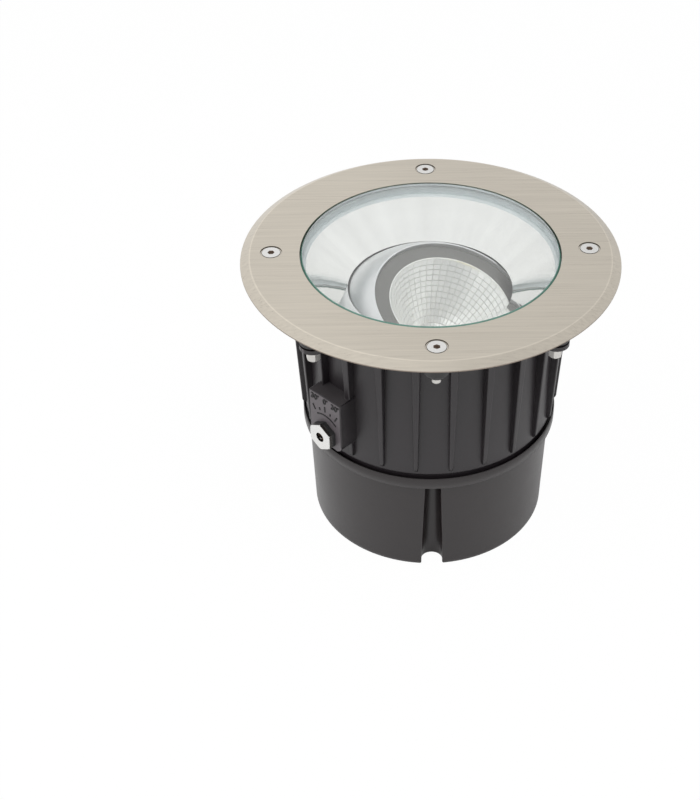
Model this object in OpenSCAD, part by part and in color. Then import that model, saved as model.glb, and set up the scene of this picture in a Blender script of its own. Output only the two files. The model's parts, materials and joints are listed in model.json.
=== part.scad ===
// In-ground well light: a glass-topped uplight whose ball-shaped lamp leans inside a ribbed housing.
// Millimetres. The base stands on Z = 0, centred on the Z axis, and the front is at -Y.

/* [Overall] */
// Outside diameter of the trim ring
ring_d = 250; // [240:1:270]
// Reach of the trim ring outside the housing wall
ring_reach = 38; // [36:0.5:40]
// Height of the base up to its lip
base_h = 85.2; // [80:0.2:90]
// Height of the lamp axis above the lip of the base
axis_h = 26.2; // [25:0.1:32]

/* [Trim ring] */
// Thickness of the ring plate
ring_t = 5.3; // [4.8:0.1:7]
// Width of the bevel round the outer edge
ring_bevel_w = 6; // [3:0.5:9]
// Height of the upright edge below the bevel
ring_edge_h = 0.8; // [0.5:0.1:2]
// Height of the chamfer under the rim
ring_under_h = 1; // [0.5:0.1:2]
// Width of the chamfer under the rim
ring_under_w = 1.6; // [0.5:0.1:2]
// Width of the ring plate, from its rim to the opening that the glass fills
ring_w = 39; // [37:0.5:41]

/* [Ring screws] */
// Distance of the ring screws from the rim of the ring
screw_inset = 20.3; // [18:0.1:22]
// Thread diameter of the ring screws
screw_d = 6; // [4:0.5:6]
// Head diameter of the ring screws
screw_head_d = 12; // [11:0.5:13]
// Width across the flats of the hexagon socket
socket_af = 4; // [3:0.5:5]
// Length of screw that stands out below its boss
screw_end_h = 5.2; // [1:0.1:6]

/* [Glass] */
// Thickness of the glass
glass_t = 10; // [9:0.5:13]
// Width of the glass step that the ring holds down
glass_step_w = 6.4; // [4:0.2:8]
// Thickness of the gasket under the glass
gasket_t = 4; // [2:0.5:6]
// Thickness of the gasket wall round the glass
gasket_wall = 1.6; // [1:0.1:2.4]

/* [Clamp frame] */
// Width of the frame rim outside the gasket
frame_rim_w = 4.4; // [3:0.2:6]
// Thickness of the ledge that carries the gasket
ledge_t = 2; // [2:0.5:4]
// Diameter of the bosses under the ring screws
boss_d = 16.5; // [14:0.5:17]
// Length of those bosses below the ring
boss_h = 17.1; // [14:0.1:19]
// Height of the taper at the end of each boss
boss_taper_h = 3.7; // [2:0.1:6]
// Diameter of the round end of each bolt lug
lug_d = 17; // [15:0.5:19]
// Distance of the frame bolts from the rim of the ring
bolt_inset = 17.5; // [15:0.1:19.5]
// Thread diameter of the frame bolts
bolt_d = 5; // [4:0.5:6]
// Width across the flats of the long nuts
nut_af = 8; // [8:0.5:11]
// Length of the long nuts
nut_h = 9; // [5:0.5:14]

/* [Housing] */
// Thickness of the housing wall
wall = 3.8; // [3:0.1:5]
// Thickness of the housing flange
flange_t = 5.3; // [4:0.1:7]
// Thickness of the bolt lugs on the flange
lug_t = 3; // [2:0.1:5]
// Thickness of the seal on the flange
seal_t = 1; // [0.8:0.1:2]
// Number of cooling ribs, in a multiple of eight so that none meets the adjuster axis
rib_count = 24; // [16:8:32]
// Depth of the ribs at the flange
rib_depth_top = 7.2; // [5:0.1:8]
// Depth of the ribs at their feet
rib_depth_foot = 2.8; // [2:0.1:4]
// Width of the ribs at the flange
rib_w_top = 5.5; // [4:0.1:6.5]
// Width of the ribs at their feet
rib_w_foot = 2.6; // [2:0.1:4]
// Thickness of the housing floor
floor_t = 4; // [3:0.5:6]

/* [Adjuster] */
// Direction of the adjuster round the housing, in degrees
adjuster_deg = 225; // [225:90:315]
// Width of the adjuster block
block_w = 29; // [26:1:34]
// Distance of the block face from the housing wall
block_out = 13; // [10:0.5:17]
// Height of the block above the spindle
block_up_h = 30.5; // [20:0.5:38]
// Height of the block below the spindle
block_down_h = 9.5; // [8.5:0.1:12]
// Radius of the two lower corners of the block
block_corner_r = 5.5; // [2:0.5:8]
// Width across the flats of the gland nut
gland_af = 18; // [17:0.5:19]
// Thickness of the gland nut
gland_t = 3; // [2:0.5:5]
// Thickness of the hexagonal seal behind it
hex_seal_t = 2.7; // [1.5:0.1:4]
// Diameter of the spindle and of the pin opposite
spindle_d = 6; // [5:0.5:7]
// Lean of the lamp away from upright, in degrees
lean = 18.9; // [-30:0.1:30]
// Largest lean either way, in degrees
lean_max = 30; // [20:1:30]

/* [Lamp] */
// Depth of the cone's lower mouth below the top of the lamp ball
mouth_drop = 19.9; // [17:0.1:23]
// Depth of that mouth below the top of the ring
mouth_depth = 34.6; // [32:0.1:37]
// Thickness of the cone's sheet
cone_t = 1; // [0.6:0.1:1.4]
// Gap between the lamp ball and the housing wall
swing_gap = 1.3; // [1:0.1:2]
// Gap between the lamp ball and the cone's mouth
mouth_gap = 1.1; // [0.6:0.1:2]
// Thickness of the ball-shaped shell
shell_t = 1.6; // [1.2:0.1:2]
// Width of the flat band between the lamp's lip and its reflector
bezel_w = 10.4; // [7:0.1:13]
// Depth of that band below the lip
bezel_drop = 2.8; // [1:0.1:4]
// Number of facets round the reflector
facet_count = 48; // [36:4:60]
// Number of rings of facets in the reflector
facet_rings = 12; // [8:1:14]
// Width of the square light board
board_w = 24; // [18:1:26]
// Diameter of its round emitter
emitter_d = 16; // [10:1:18]
// Diameter of the heat sink plate
sink_d = 72; // [60:1:80]
// Thickness of the heat sink plate
sink_t = 5; // [3:0.5:7]
// Thickness of the heat sink fins
fin_t = 2; // [1.5:0.1:2.5]
// Distance from fin to fin
fin_pitch = 5; // [4:0.5:6]
// Width of the bracket that carries the lamp
yoke_w = 22; // [18:1:26]
// Thickness of the bracket
yoke_t = 3; // [2:0.5:4]

/* [Base] */
// Height of the lip band round the top of the base
lip_band_h = 9; // [7:0.5:12]
// Reach of the lip outside the housing wall
lip_out = 2; // [1.8:0.1:4]
// Step from the housing wall in to the top of the base wall
base_inset = 1.7; // [1:0.1:3]
// Draft of the base wall over its whole height
base_draft = 2.1; // [1:0.1:4]
// Thickness of the base wall
base_wall = 3.8; // [3:0.1:4.4]
// Thickness of the base floor
base_floor_t = 4; // [3:0.5:6]
// Width, at the foot, of the grooves down the front and the back of the base
groove_w = 14.6; // [12:0.1:17]
// Amount by which those grooves narrow towards the lip
groove_draft = 4.1; // [0:0.1:6]
// Depth of those grooves
groove_depth = 10.5; // [8:0.5:13]
// Rounding of their edges at the foot
groove_corner_r = 2; // [0.5:0.1:3]

/* [Driver] */
// Part of the base's inner diameter that the length of the driver leaves free
driver_end_room = 66.8; // [62:0.2:80]
// Part of the base's inner radius that the width of the driver leaves free
driver_side_room = 39.4; // [37:0.2:46]
// Height of the driver
driver_h = 27; // [20:1:35]
// Length of the terminal block
terminal_l = 44; // [34:1:60]
// Width of the terminal block
terminal_w = 20; // [16:1:24]
// Height of the terminal block
terminal_h = 17; // [14:1:22]

/* [Cable entry] */
// Gap between the lock nut of the cable entry and the nearest screw post
entry_room = 1.865; // [1:0.005:6]
// Depth of the cable entry below the lip band
entry_drop = 36.2; // [28:0.2:42]
// Thread diameter of the cable gland
entry_d = 16; // [14:1:18]
// Width across the flats of the cable gland
entry_af = 22; // [21:1:26]
// Diameter of the largest cable that passes
cable_d = 10; // [8:0.5:11]

/* [Hidden] */
$fn = 96;

// Overrun of every cut past the face that it opens
over = 1;
// Radial gap of a spindle that turns in its hole
run_gap = 0.05;
// Radial gap of a fixed pin, screw or bush in its hole
fit_gap = 0.1;
// Gap between fixed pieces that lie side by side
side_gap = 0.3;

// Main radii from the rim inwards, and main levels from the base upwards
ring_r = ring_d / 2;
opening_r = ring_r - ring_w;
body_r = ring_r - ring_reach;
body_in_r = body_r - wall;
ball_r = body_in_r - swing_gap;
pivot_z = base_h + axis_h;
mouth_up = ball_r - mouth_drop;
mouth_z = pivot_z + mouth_up;
total_h = mouth_z + mouth_depth;

// Trim ring and its screws
ring_low = total_h - ring_t;
screw_ring_r = ring_r - screw_inset;
screw_count = 4;
head_gap = 1;
head_recess = 0.5;
head_sink = 0.15;
head_rim_h = 0.55;
head_cone_h = (screw_head_d - screw_d) / 2;
socket_depth = 2.4;
screw_point_h = 1.2;

// Glass, gasket and clamp frame, from the opening outwards
glass_gap = 0.4;
glass_r = opening_r - glass_gap;
step_r = opening_r + glass_step_w;
step_top = ring_low - side_gap;
glass_low = total_h - glass_t;
glass_arris = 0.5;
gasket_in_r = opening_r - glass_gap;
gasket_wall_r = step_r + side_gap;
gasket_r = gasket_wall_r + gasket_wall;
gasket_low = glass_low - gasket_t;
frame_bore_r = gasket_r + side_gap;
frame_r = frame_bore_r + frame_rim_w;
ledge_top = gasket_low - cone_t;
frame_low = ledge_top - ledge_t;
boss_low = ring_low - boss_h;
boss_taper = 3.3;
bolt_ring_r = ring_r - bolt_inset;
bolt_count = 4;
bolt_deg = 180 / bolt_count;
bolt_head_d = 8.5;
bolt_head_h = 5;
bolt_end_h = 1;
nut_chamfer = 0.8;

// Housing, from its flange down to the floor
block_root_r = body_in_r + wall / 4;
block_reach = body_r + block_out;
seal_low = frame_low - seal_t;
flange_low = seal_low - flange_t;
lug_low = seal_low - lug_t;
flange_inset = 2.5;
flange_r = frame_r - flange_inset;
lip_wall = 1.5;
lip_r = body_r + lip_out;
lip_in_r = lip_r - lip_wall;
spigot_step = 1.4;
spigot_r = body_r - spigot_step;
rib_foot_gap = 5.5;
rib_foot = base_h + rib_foot_gap;
wall_foot = base_h + rib_foot_gap / 2;
rib_corner = 0.9;
socket_h = 6.2;
base_seal_t = 1;
shoulder = base_h - socket_h;
body_low = shoulder + base_seal_t;
floor_top = body_low + floor_t;

// Ball lamp: its sphere fills the housing bore, and the cone's mouth follows that sphere
mouth_r = sqrt(pow(ball_r + mouth_gap, 2) - pow(mouth_up, 2));
lip_inset = 1.7;
lamp_lip_r = mouth_r - lip_inset;
lamp_lip_up = sqrt(pow(ball_r, 2) - pow(lamp_lip_r, 2));
lamp_lip_t = 0.9;
collar_bore_r = lamp_lip_r - lamp_lip_t;
collar_wall = 2;
collar_step = 1.6;
collar_h = 12;
skirt_margin_deg = 3;
skirt_deg = atan2(mouth_r, mouth_up) + lean_max + skirt_margin_deg;
skirt_up = ball_r * cos(skirt_deg);
ear_drop = yoke_w / 2;
pad_t = 2.3;
tab_out = ball_r - shell_t - pad_t;
tab_in = tab_out - yoke_t;

// Cone reflector
cone_rim_inset = 2;
cone_rim_r = opening_r - cone_rim_inset;
cone_top = gasket_low;
cone_run = (cone_rim_r - mouth_r) / (cone_top - mouth_z);
cone_wall_w = cone_t * sqrt(1 + pow(cone_run, 2));
ledge_r = cone_rim_r - cone_run * cone_t + cone_wall_w + side_gap;

// Spindle, pin, gland and bush along the lamp axis
spindle_r = spindle_d / 2;
spindle_head_wall = 1.8;
spindle_head_r = spindle_r + spindle_head_wall;
spindle_head_t = 2.5;
spindle_sink = 1.5;
spindle_slot_w = 1.4;
spindle_slot_depth = 1.6;
gland_mouth_gap = 0.4;
gland_mouth_depth = 2;
gland_tube_wall = 3;
gland_tube_r = spindle_r + gland_tube_wall;
gland_tube_h = 8.7;
gland_face = block_reach + hex_seal_t + gland_t;
hex_chamfer = 0.7;
ring_section_r = 1;
o_ring_r = spindle_r + run_gap + ring_section_r;
o_ring_mid = block_reach - gland_tube_h - ring_section_r - fit_gap;
o_pocket_r = o_ring_r + ring_section_r + run_gap;
bush_wall = 2;
bush_l = 8;
bush_r = spindle_r + run_gap + bush_wall;
pin_end_gap = 0.5;
pin_boss_r = bush_r + wall / 2;
pin_boss_end = body_in_r + bush_l + wall;

// Light board, holder, reflector, heat sink and bracket, up from the lamp axis
yoke_clear = 0.5;
yoke_low = spindle_head_r + yoke_clear;
sink_low = yoke_low + yoke_t;
sink_top = sink_low + sink_t;
sink_r = sink_d / 2;
board_t = 1.2;
emitter_t = 0.8;
holder_wall = 6;
holder_r = board_w / sqrt(2) + holder_wall;
holder_h = 4;
holder_top = sink_top + holder_h;
holder_hole_share = 0.85;
neck_r = board_w / 2;
bezel_t = 1.5;
bezel_top = lamp_lip_up - bezel_drop;
bezel_low = bezel_top - bezel_t;
reflector_rim_r = collar_bore_r - bezel_w;
reflector_t = 1.5;
reflector_back_steps = 3;
reflector_rim_w = collar_bore_r - collar_step - reflector_rim_r - fit_gap;
fin_floor_gap = 2;
fin_reach = pivot_z - floor_top - fin_floor_gap;
fin_first = yoke_w / 2 + fin_t;
fin_sides = 3;
fin_length_share = 0.7;
small_screw_r = 2;
small_head_r = 3.5;
small_head_h = 2.2;
screw_grip_share = 0.8;
yoke_screw_share = 0.6;
small_screw_h = yoke_t + sink_t * screw_grip_share;
yoke_screw_at = sink_r * yoke_screw_share;
ear_screw_r = 1.5;
ear_head_r = 2.6;
ear_head_h = 1.8;
ear_screw_l = yoke_t + pad_t;
ear_screw_share = 0.34;
ear_screw_at = yoke_w * ear_screw_share;

// Base
lip_low = base_h - lip_band_h;
base_top_r = body_r - base_inset;
base_low_r = base_top_r - base_draft;
base_in_top_r = base_top_r - base_wall;
base_in_low_r = base_low_r - base_wall;
base_foot_chamfer = 0.4;
lip_chamfer = 0.7;
groove_count = 2;
groove_r = groove_w / 2;
groove_top_r = groove_r - groove_draft / 2;
groove_mid = base_low_r - groove_depth + groove_r;
groove_wall = 3;
groove_top_gap = 2;
groove_top = lip_low - groove_top_gap;
groove_corner_step_deg = 15;
post_count = 4;
post_deg = 180 / post_count;
post_r = 5;
post_sink = 1.2;
post_at = base_in_low_r - post_r + post_sink;
post_screw_h = 14;
base_seal_w = 3.4;
grommet_share = 0.66;
grommet_at = body_in_r * grommet_share;
grommet_hole_r = 3;
grommet_neck_r = 4.5;
grommet_rim_r = 7;
grommet_rim_h = 2;

// Driver tray and what stands on it
tray_t = 1.5;
tray_edge = 4;
tray_end = 10;
driver_l = 2 * base_in_low_r - driver_end_room;
driver_w = base_in_low_r - driver_side_room;
tray_l = driver_l + 2 * tray_end;
gap_between = 8;
tray_w = driver_w + gap_between + terminal_w + 2 * tray_edge;
tray_lip_h = 6;
tray_screw_at = tray_end / 2;
ear_t = 2;
driver_ear_l = 7;
driver_y = tray_edge - tray_w / 2 + driver_w / 2;
terminal_y = tray_w / 2 - tray_edge - terminal_w / 2;
driver_edge_r = 3;
terminal_ways = 3;
terminal_hole_r = 2;
terminal_well_r = 1.8;
terminal_step_h_share = 0.45;
terminal_step_w_share = 0.28;

// Cable gland, outwards along its own axis
entry_z = lip_low - entry_drop;
entry_corner_r = entry_af / 2 / cos(30);
entry_deg = post_deg + asin((entry_corner_r + post_r + entry_room) / post_at);
entry_pad_r = entry_corner_r + over;
entry_pad_out = 3;
entry_pad_in = 4.5;
entry_face = base_top_r + entry_pad_out;
entry_back = base_in_low_r - entry_pad_in;
entry_r = entry_d / 2;
entry_hex_t = 5;
entry_tail_h = 2;
lock_nut_t = 4;
cable_r = cable_d / 2;
cable_gap = 0.2;
cup_wall = 1.6;
cup_l = 7;
cup_r = entry_r - cup_wall / 2;
cap_l = 11;
cap_chamfer = 1.5;

// Cylinder that lies along X from one station to another
module rod(from, to, r) {
    translate([from, 0, 0])
        rotate([0, 90, 0])
            cylinder(h = to - from, r = r);
}

// Hexagonal bar that lies along X, with a corner on top
module hex_rod(from, to, af) {
    translate([from, 0, 0])
        rotate([0, 90, 0])
            cylinder(h = to - from, r = af / 2 / cos(30), $fn = 6);
}

// Flat washer or tube that stands on a level
module tube(low, top, r, bore) {
    translate([0, 0, low])
        difference() {
            cylinder(h = top - low, r = r);
            translate([0, 0, -over])
                cylinder(h = top - low + 2 * over, r = bore);
        }
}

// Copies round the Z axis, at a radius
module round_about(count, start, r) {
    for (i = [0 : count - 1])
        rotate([0, 0, start + i * 360 / count])
            translate([r, 0, 0])
                children();
}

// The lamp axis: X runs out through the adjuster, at the height of the spindle
module on_axis() {
    translate([0, 0, pivot_z])
        rotate([0, 0, adjuster_deg])
            children();
}

// The leaning lamp: X stays on the lamp axis, and Z is the way the light shines
module on_lamp() {
    on_axis()
        rotate([-lean, 0, 0])
            children();
}

// The cable entry: X runs straight out of the base
module on_entry() {
    translate([0, 0, entry_z])
        rotate([0, 0, entry_deg])
            children();
}

// Trim ring: a flat plate with a bevelled rim and four countersunk holes
module trim_ring() {
    color([0.78, 0.75, 0.7])
        difference() {
            rotate_extrude()
                polygon([
                    [opening_r, ring_low],
                    [ring_r - ring_under_w, ring_low],
                    [ring_r, ring_low + ring_under_h],
                    [ring_r, ring_low + ring_under_h + ring_edge_h],
                    [ring_r - ring_bevel_w, total_h],
                    [opening_r, total_h]
                ]);
            round_about(screw_count, 0, screw_ring_r)
                screw_hole();
        }
}

// Clear hole, countersink and shallow recess for one ring screw
module screw_hole() {
    cone_top_z = total_h - head_recess;
    translate([0, 0, ring_low - over])
        cylinder(h = ring_t + 2 * over, r = screw_d / 2 + side_gap);
    translate([0, 0, cone_top_z - head_cone_h])
        cylinder(h = head_cone_h, r1 = screw_d / 2 + fit_gap, r2 = screw_head_d / 2 + fit_gap);
    translate([0, 0, cone_top_z])
        cylinder(h = head_recess + over, r = screw_head_d / 2 + head_gap);
}

// Countersunk screws that hold the ring to the clamp frame
module ring_screws() {
    color([0.8, 0.8, 0.82])
        round_about(screw_count, 0, screw_ring_r)
            ring_screw();
}

module ring_screw() {
    head_low = total_h - head_recess - head_cone_h;
    end_low = boss_low - screw_end_h;
    difference() {
        union() {
            translate([0, 0, total_h - head_recess])
                cylinder(h = head_recess - head_sink, r = screw_head_d / 2);
            translate([0, 0, head_low])
                cylinder(h = head_cone_h, r1 = screw_d / 2, r2 = screw_head_d / 2);
            translate([0, 0, end_low + screw_point_h])
                cylinder(h = head_low - end_low - screw_point_h, r = screw_d / 2);
            translate([0, 0, end_low])
                cylinder(h = screw_point_h, r1 = screw_d / 2 - screw_point_h, r2 = screw_d / 2);
        }
        translate([0, 0, total_h - head_sink - socket_depth])
            cylinder(h = socket_depth + over, r = socket_af / 2 / cos(30), $fn = 6);
    }
}

// Stepped glass, flush with the ring
module glass_lens() {
    color([0.75, 0.9, 0.85, 0.35])
        rotate_extrude()
            polygon([
                [0, glass_low],
                [step_r, glass_low],
                [step_r, step_top],
                [glass_r, step_top],
                [glass_r, total_h - glass_arris],
                [glass_r - glass_arris, total_h],
                [0, total_h]
            ]);
}

// Silicone gasket under and round the glass step
module glass_gasket() {
    color([0.69, 0.75, 0.78])
        rotate_extrude()
            polygon([
                [gasket_in_r, gasket_low],
                [gasket_r, gasket_low],
                [gasket_r, step_top],
                [gasket_wall_r, step_top],
                [gasket_wall_r, glass_low],
                [gasket_in_r, glass_low]
            ]);
}

// Clamp frame: carries the glass, takes the ring screws and bolts down on the housing
module clamp_frame() {
    color([0.17, 0.17, 0.17])
        difference() {
            union() {
                tube(frame_low, ring_low, frame_r, ledge_r);
                round_about(screw_count, 0, 0)
                    frame_boss();
                round_about(bolt_count, bolt_deg, 0)
                    bolt_lug(frame_low, ring_low);
            }
            translate([0, 0, ledge_top])
                cylinder(h = ring_low - ledge_top + over, r = frame_bore_r);
            round_about(screw_count, 0, screw_ring_r)
                translate([0, 0, boss_low - over])
                    cylinder(h = boss_h + 2 * over, r = screw_d / 2 + fit_gap);
            round_about(bolt_count, bolt_deg, bolt_ring_r) {
                translate([0, 0, frame_low - over])
                    cylinder(h = ring_low - frame_low + 2 * over, r = bolt_d / 2 + fit_gap);
                translate([0, 0, ring_low - bolt_head_h])
                    cylinder(h = bolt_head_h + over, r = bolt_head_d / 2 + side_gap);
            }
        }
}

// Boss under one ring screw, tied to the frame by its own web
module frame_boss() {
    translate([screw_ring_r, 0, boss_low + boss_taper_h])
        cylinder(h = boss_h - boss_taper_h, r = boss_d / 2);
    translate([screw_ring_r, 0, boss_low])
        cylinder(h = boss_taper_h, r1 = boss_d / 2 - boss_taper, r2 = boss_d / 2);
    translate([frame_bore_r, -boss_d / 2, frame_low])
        cube([screw_ring_r - frame_bore_r, boss_d, ring_low - frame_low]);
}

// Round-ended lug for one frame bolt, between two levels
module bolt_lug(low, top) {
    translate([bolt_ring_r, 0, low])
        cylinder(h = top - low, r = lug_d / 2);
    translate([body_r, -lug_d / 2, low])
        cube([bolt_ring_r - body_r, lug_d, top - low]);
}

// Bolts that clamp the frame to the housing, heads up
module frame_bolts() {
    end_low = lug_low - nut_h - bolt_end_h;
    color([0.7, 0.7, 0.72])
        round_about(bolt_count, bolt_deg, bolt_ring_r)
            difference() {
                union() {
                    translate([0, 0, ring_low - bolt_head_h])
                        cylinder(h = bolt_head_h - side_gap, r = bolt_head_d / 2);
                    translate([0, 0, end_low])
                        cylinder(h = ring_low - bolt_head_h - end_low, r = bolt_d / 2);
                }
                translate([0, 0, ring_low - side_gap - socket_depth])
                    cylinder(h = socket_depth + over, r = socket_af / 2 / cos(30), $fn = 6);
            }
}

// Long hexagonal nuts under the housing lugs, chamfered at the lower end
module frame_nuts() {
    nut_corner_r = nut_af / 2 / cos(30);
    color([0.8, 0.8, 0.82])
        round_about(bolt_count, bolt_deg, bolt_ring_r)
            translate([0, 0, lug_low - nut_h])
                difference() {
                    intersection() {
                        cylinder(h = nut_h, r = nut_corner_r, $fn = 6);
                        cylinder(h = nut_h, r1 = nut_corner_r - nut_chamfer,
                                 r2 = nut_corner_r - nut_chamfer + nut_h);
                    }
                    translate([0, 0, -over])
                        cylinder(h = nut_h + 2 * over, r = bolt_d / 2 + fit_gap);
                }
}

// Flat seal between the frame and the housing flange, inside the bosses
module flange_seal() {
    color([0.1, 0.1, 0.1])
        difference() {
            tube(seal_low, frame_low, flange_r - side_gap, body_in_r);
            boss_clearance();
        }
}

// Room for the frame bosses where they pass the flange
module boss_clearance() {
    round_about(screw_count, 0, screw_ring_r)
        translate([0, 0, boss_low - over])
            cylinder(h = boss_h + over, r = boss_d / 2 + side_gap);
}

// Spun cone reflector that hangs from the ledge
module cone_reflector() {
    color([0.9, 0.9, 0.89])
        rotate_extrude()
            polygon([
                [mouth_r, mouth_z],
                [mouth_r + cone_wall_w, mouth_z],
                [cone_rim_r - cone_run * cone_t + cone_wall_w, cone_top - cone_t],
                [frame_bore_r - side_gap, cone_top - cone_t],
                [frame_bore_r - side_gap, cone_top],
                [cone_rim_r, cone_top]
            ]);
}

// Housing: a cast pot with a flange, cooling ribs, the adjuster block and the pin boss
module body_housing() {
    color([0.24, 0.235, 0.24])
        difference() {
            union() {
                housing_pot();
                housing_ribs();
                round_about(bolt_count, bolt_deg, 0)
                    bolt_lug(lug_low, seal_low);
                on_axis() {
                    adjuster_block();
                    rod(-pin_boss_end, -block_root_r, pin_boss_r);
                }
            }
            boss_clearance();
            round_about(bolt_count, bolt_deg, bolt_ring_r)
                translate([0, 0, flange_low - over])
                    cylinder(h = flange_t + 2 * over, r = bolt_d / 2 + fit_gap);
            round_about(post_count, post_deg, post_at)
                translate([0, 0, body_low - over])
                    cylinder(h = floor_t + 2 * over, r = small_screw_r + fit_gap);
            translate([0, grommet_at, body_low - over])
                cylinder(h = floor_t + 2 * over, r = grommet_neck_r + fit_gap);
            on_axis() {
                rod(body_in_r - over, block_reach, spindle_r + run_gap);
                rod(o_ring_mid - ring_section_r - fit_gap, block_reach, o_pocket_r);
                rod(block_reach - gland_tube_h - fit_gap, block_reach + over, gland_tube_r + fit_gap);
                rod(-body_in_r - bush_l - fit_gap, over - body_in_r, bush_r + fit_gap);
            }
        }
}

module housing_pot() {
    rotate_extrude()
        polygon([
            [0, body_low],
            [spigot_r, body_low],
            [spigot_r, wall_foot - spigot_step],
            [body_r, wall_foot],
            [body_r, flange_low],
            [flange_r, flange_low],
            [flange_r, seal_low],
            [body_in_r, seal_low],
            [body_in_r, floor_top],
            [0, floor_top]
        ]);
}

// Ribs that thin and narrow towards round feet, all cut from one drafted ring
module housing_ribs() {
    foot_r = rib_w_foot / 2;
    intersection() {
        rotate_extrude()
            polygon([
                [block_root_r, rib_foot - over],
                [body_r, rib_foot - over],
                [body_r + rib_depth_foot, rib_foot + rib_depth_foot],
                [body_r + rib_depth_top, flange_low],
                [body_r + rib_depth_top, flange_low + flange_t / 2],
                [block_root_r, flange_low + flange_t / 2]
            ]);
        round_about(rib_count, 180 / rib_count, body_in_r)
            rotate([90, 0, 90])
                linear_extrude(wall + rib_depth_top + over) {
                    polygon([
                        [-foot_r, rib_foot + foot_r],
                        [foot_r, rib_foot + foot_r],
                        [rib_w_top / 2, seal_low],
                        [-rib_w_top / 2, seal_low]
                    ]);
                    translate([0, rib_foot + foot_r])
                        circle(r = foot_r);
                }
    }
}

// Flat-faced block that takes the gland, with two round lower corners
module adjuster_block() {
    corner_y = block_w / 2 - block_corner_r;
    corner_z = block_corner_r - block_down_h;
    translate([block_root_r, 0, 0])
        rotate([90, 0, 90])
            linear_extrude(block_reach - block_root_r) {
                translate([-block_w / 2, corner_z])
                    square([block_w, block_up_h - corner_z]);
                translate([-corner_y, -block_down_h])
                    square([2 * corner_y, block_down_h]);
                for (side = [-1, 1])
                    translate([side * corner_y, corner_z])
                        circle(r = block_corner_r);
            }
}

// Hexagonal gland nut with the tube that screws into the block
module adjuster_gland_nut() {
    corner_r = gland_af / 2 / cos(30);
    color([0.82, 0.82, 0.84])
        on_axis()
            difference() {
                union() {
                    intersection() {
                        hex_rod(gland_face - gland_t, gland_face, gland_af);
                        translate([gland_face - gland_t, 0, 0])
                            rotate([0, 90, 0])
                                cylinder(h = gland_t, r1 = corner_r - hex_chamfer + gland_t,
                                         r2 = corner_r - hex_chamfer);
                    }
                    rod(block_reach - gland_tube_h, gland_face - gland_t / 2, gland_tube_r);
                }
                rod(block_reach - gland_tube_h - over, gland_face, spindle_r + run_gap);
                rod(gland_face - gland_mouth_depth, gland_face + over, spindle_r + gland_mouth_gap);
            }
}

// Hexagonal rubber seal between the gland nut and the block
module adjuster_hex_seal() {
    color([0.08, 0.08, 0.08])
        on_axis()
            difference() {
                hex_rod(block_reach, block_reach + hex_seal_t, gland_af);
                rod(block_reach - over, block_reach + hex_seal_t + over, gland_tube_r + fit_gap);
            }
}

// O-ring round the spindle, at the bottom of the gland hole
module spindle_o_ring() {
    color([0.1, 0.1, 0.1])
        on_axis()
            translate([o_ring_mid, 0, 0])
                rotate([0, 90, 0])
                    rotate_extrude()
                        translate([o_ring_r, 0])
                            circle(r = ring_section_r);
}

// Spindle that turns the lamp, with a driver slot across its outer end
module adjuster_spindle() {
    spindle_end = gland_face - spindle_sink;
    color([0.3, 0.22, 0.17])
        on_lamp()
            difference() {
                union() {
                    rod(tab_in - spindle_head_t, tab_in, spindle_head_r);
                    rod(tab_in - spindle_head_t, spindle_end, spindle_r);
                }
                translate([spindle_end - spindle_slot_depth, -spindle_slot_w / 2, -spindle_r - over])
                    cube([spindle_slot_depth + over, spindle_slot_w, spindle_d + 2 * over]);
            }
}

// Bush that carries the pin opposite the spindle
module pivot_bush() {
    color([0.75, 0.7, 0.6])
        on_axis()
            difference() {
                rod(-body_in_r - bush_l, -body_in_r, bush_r);
                rod(-body_in_r - bush_l - over, over - body_in_r, spindle_r + run_gap);
            }
}

// Plain pin opposite the spindle
module pivot_pin() {
    color([0.75, 0.75, 0.77])
        on_lamp() {
            rod(-tab_in, spindle_head_t - tab_in, spindle_head_r);
            rod(-body_in_r - bush_l + pin_end_gap, spindle_head_t - tab_in, spindle_r);
        }
}

// Ball-shaped shell of the lamp, with a thin lip, an inner collar and two ears
module lamp_shell() {
    color([0.78, 0.79, 0.8])
        on_lamp()
            difference() {
                intersection() {
                    sphere(r = ball_r);
                    union() {
                        difference() {
                            union() {
                                translate([0, 0, skirt_up])
                                    cylinder(h = lamp_lip_up - skirt_up, r = ball_r + over);
                                translate([-ball_r, -yoke_w / 2, -ear_drop])
                                    cube([2 * ball_r, yoke_w, ear_drop + skirt_up + over]);
                            }
                            sphere(r = ball_r - shell_t);
                        }
                        translate([0, 0, lamp_lip_up - collar_h])
                            cylinder(h = collar_h, r = collar_bore_r + collar_wall);
                        for (side = [-1, 1])
                            translate([side * (tab_out + ball_r) / 2, 0, 0])
                                cube([ball_r - tab_out, yoke_w, 2 * ear_drop], center = true);
                    }
                }
                translate([0, 0, bezel_low])
                    cylinder(h = bezel_t + bezel_drop + over, r = collar_bore_r);
                translate([0, 0, lamp_lip_up - collar_h - over])
                    cylinder(h = collar_h + over, r = collar_bore_r - collar_step);
                rod(-ball_r - over, ball_r + over, spindle_r + fit_gap);
                ear_screw_holes(tab_out - over, ear_screw_r + fit_gap);
            }
}

// Blind holes for the ear screws, on both sides
module ear_screw_holes(from, r) {
    for (turn = [0, 180])
        rotate([0, 0, turn])
            for (side = [-1, 1])
                translate([0, side * ear_screw_at, 0])
                    rod(from, tab_in + ear_screw_l + fit_gap, r);
}

// Flat band inside the lip
module lamp_bezel() {
    color([0.55, 0.54, 0.53])
        on_lamp()
            tube(bezel_low, bezel_top, collar_bore_r - fit_gap, reflector_rim_r);
}

// Radius of the reflector bowl at a height above the lamp axis, a parabola from neck to rim
function bowl_r(up) =
    let (share = (up - holder_top) / (bezel_low - holder_top))
    sqrt(pow(neck_r, 2) + share * (pow(reflector_rim_r, 2) - pow(neck_r, 2)));

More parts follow.
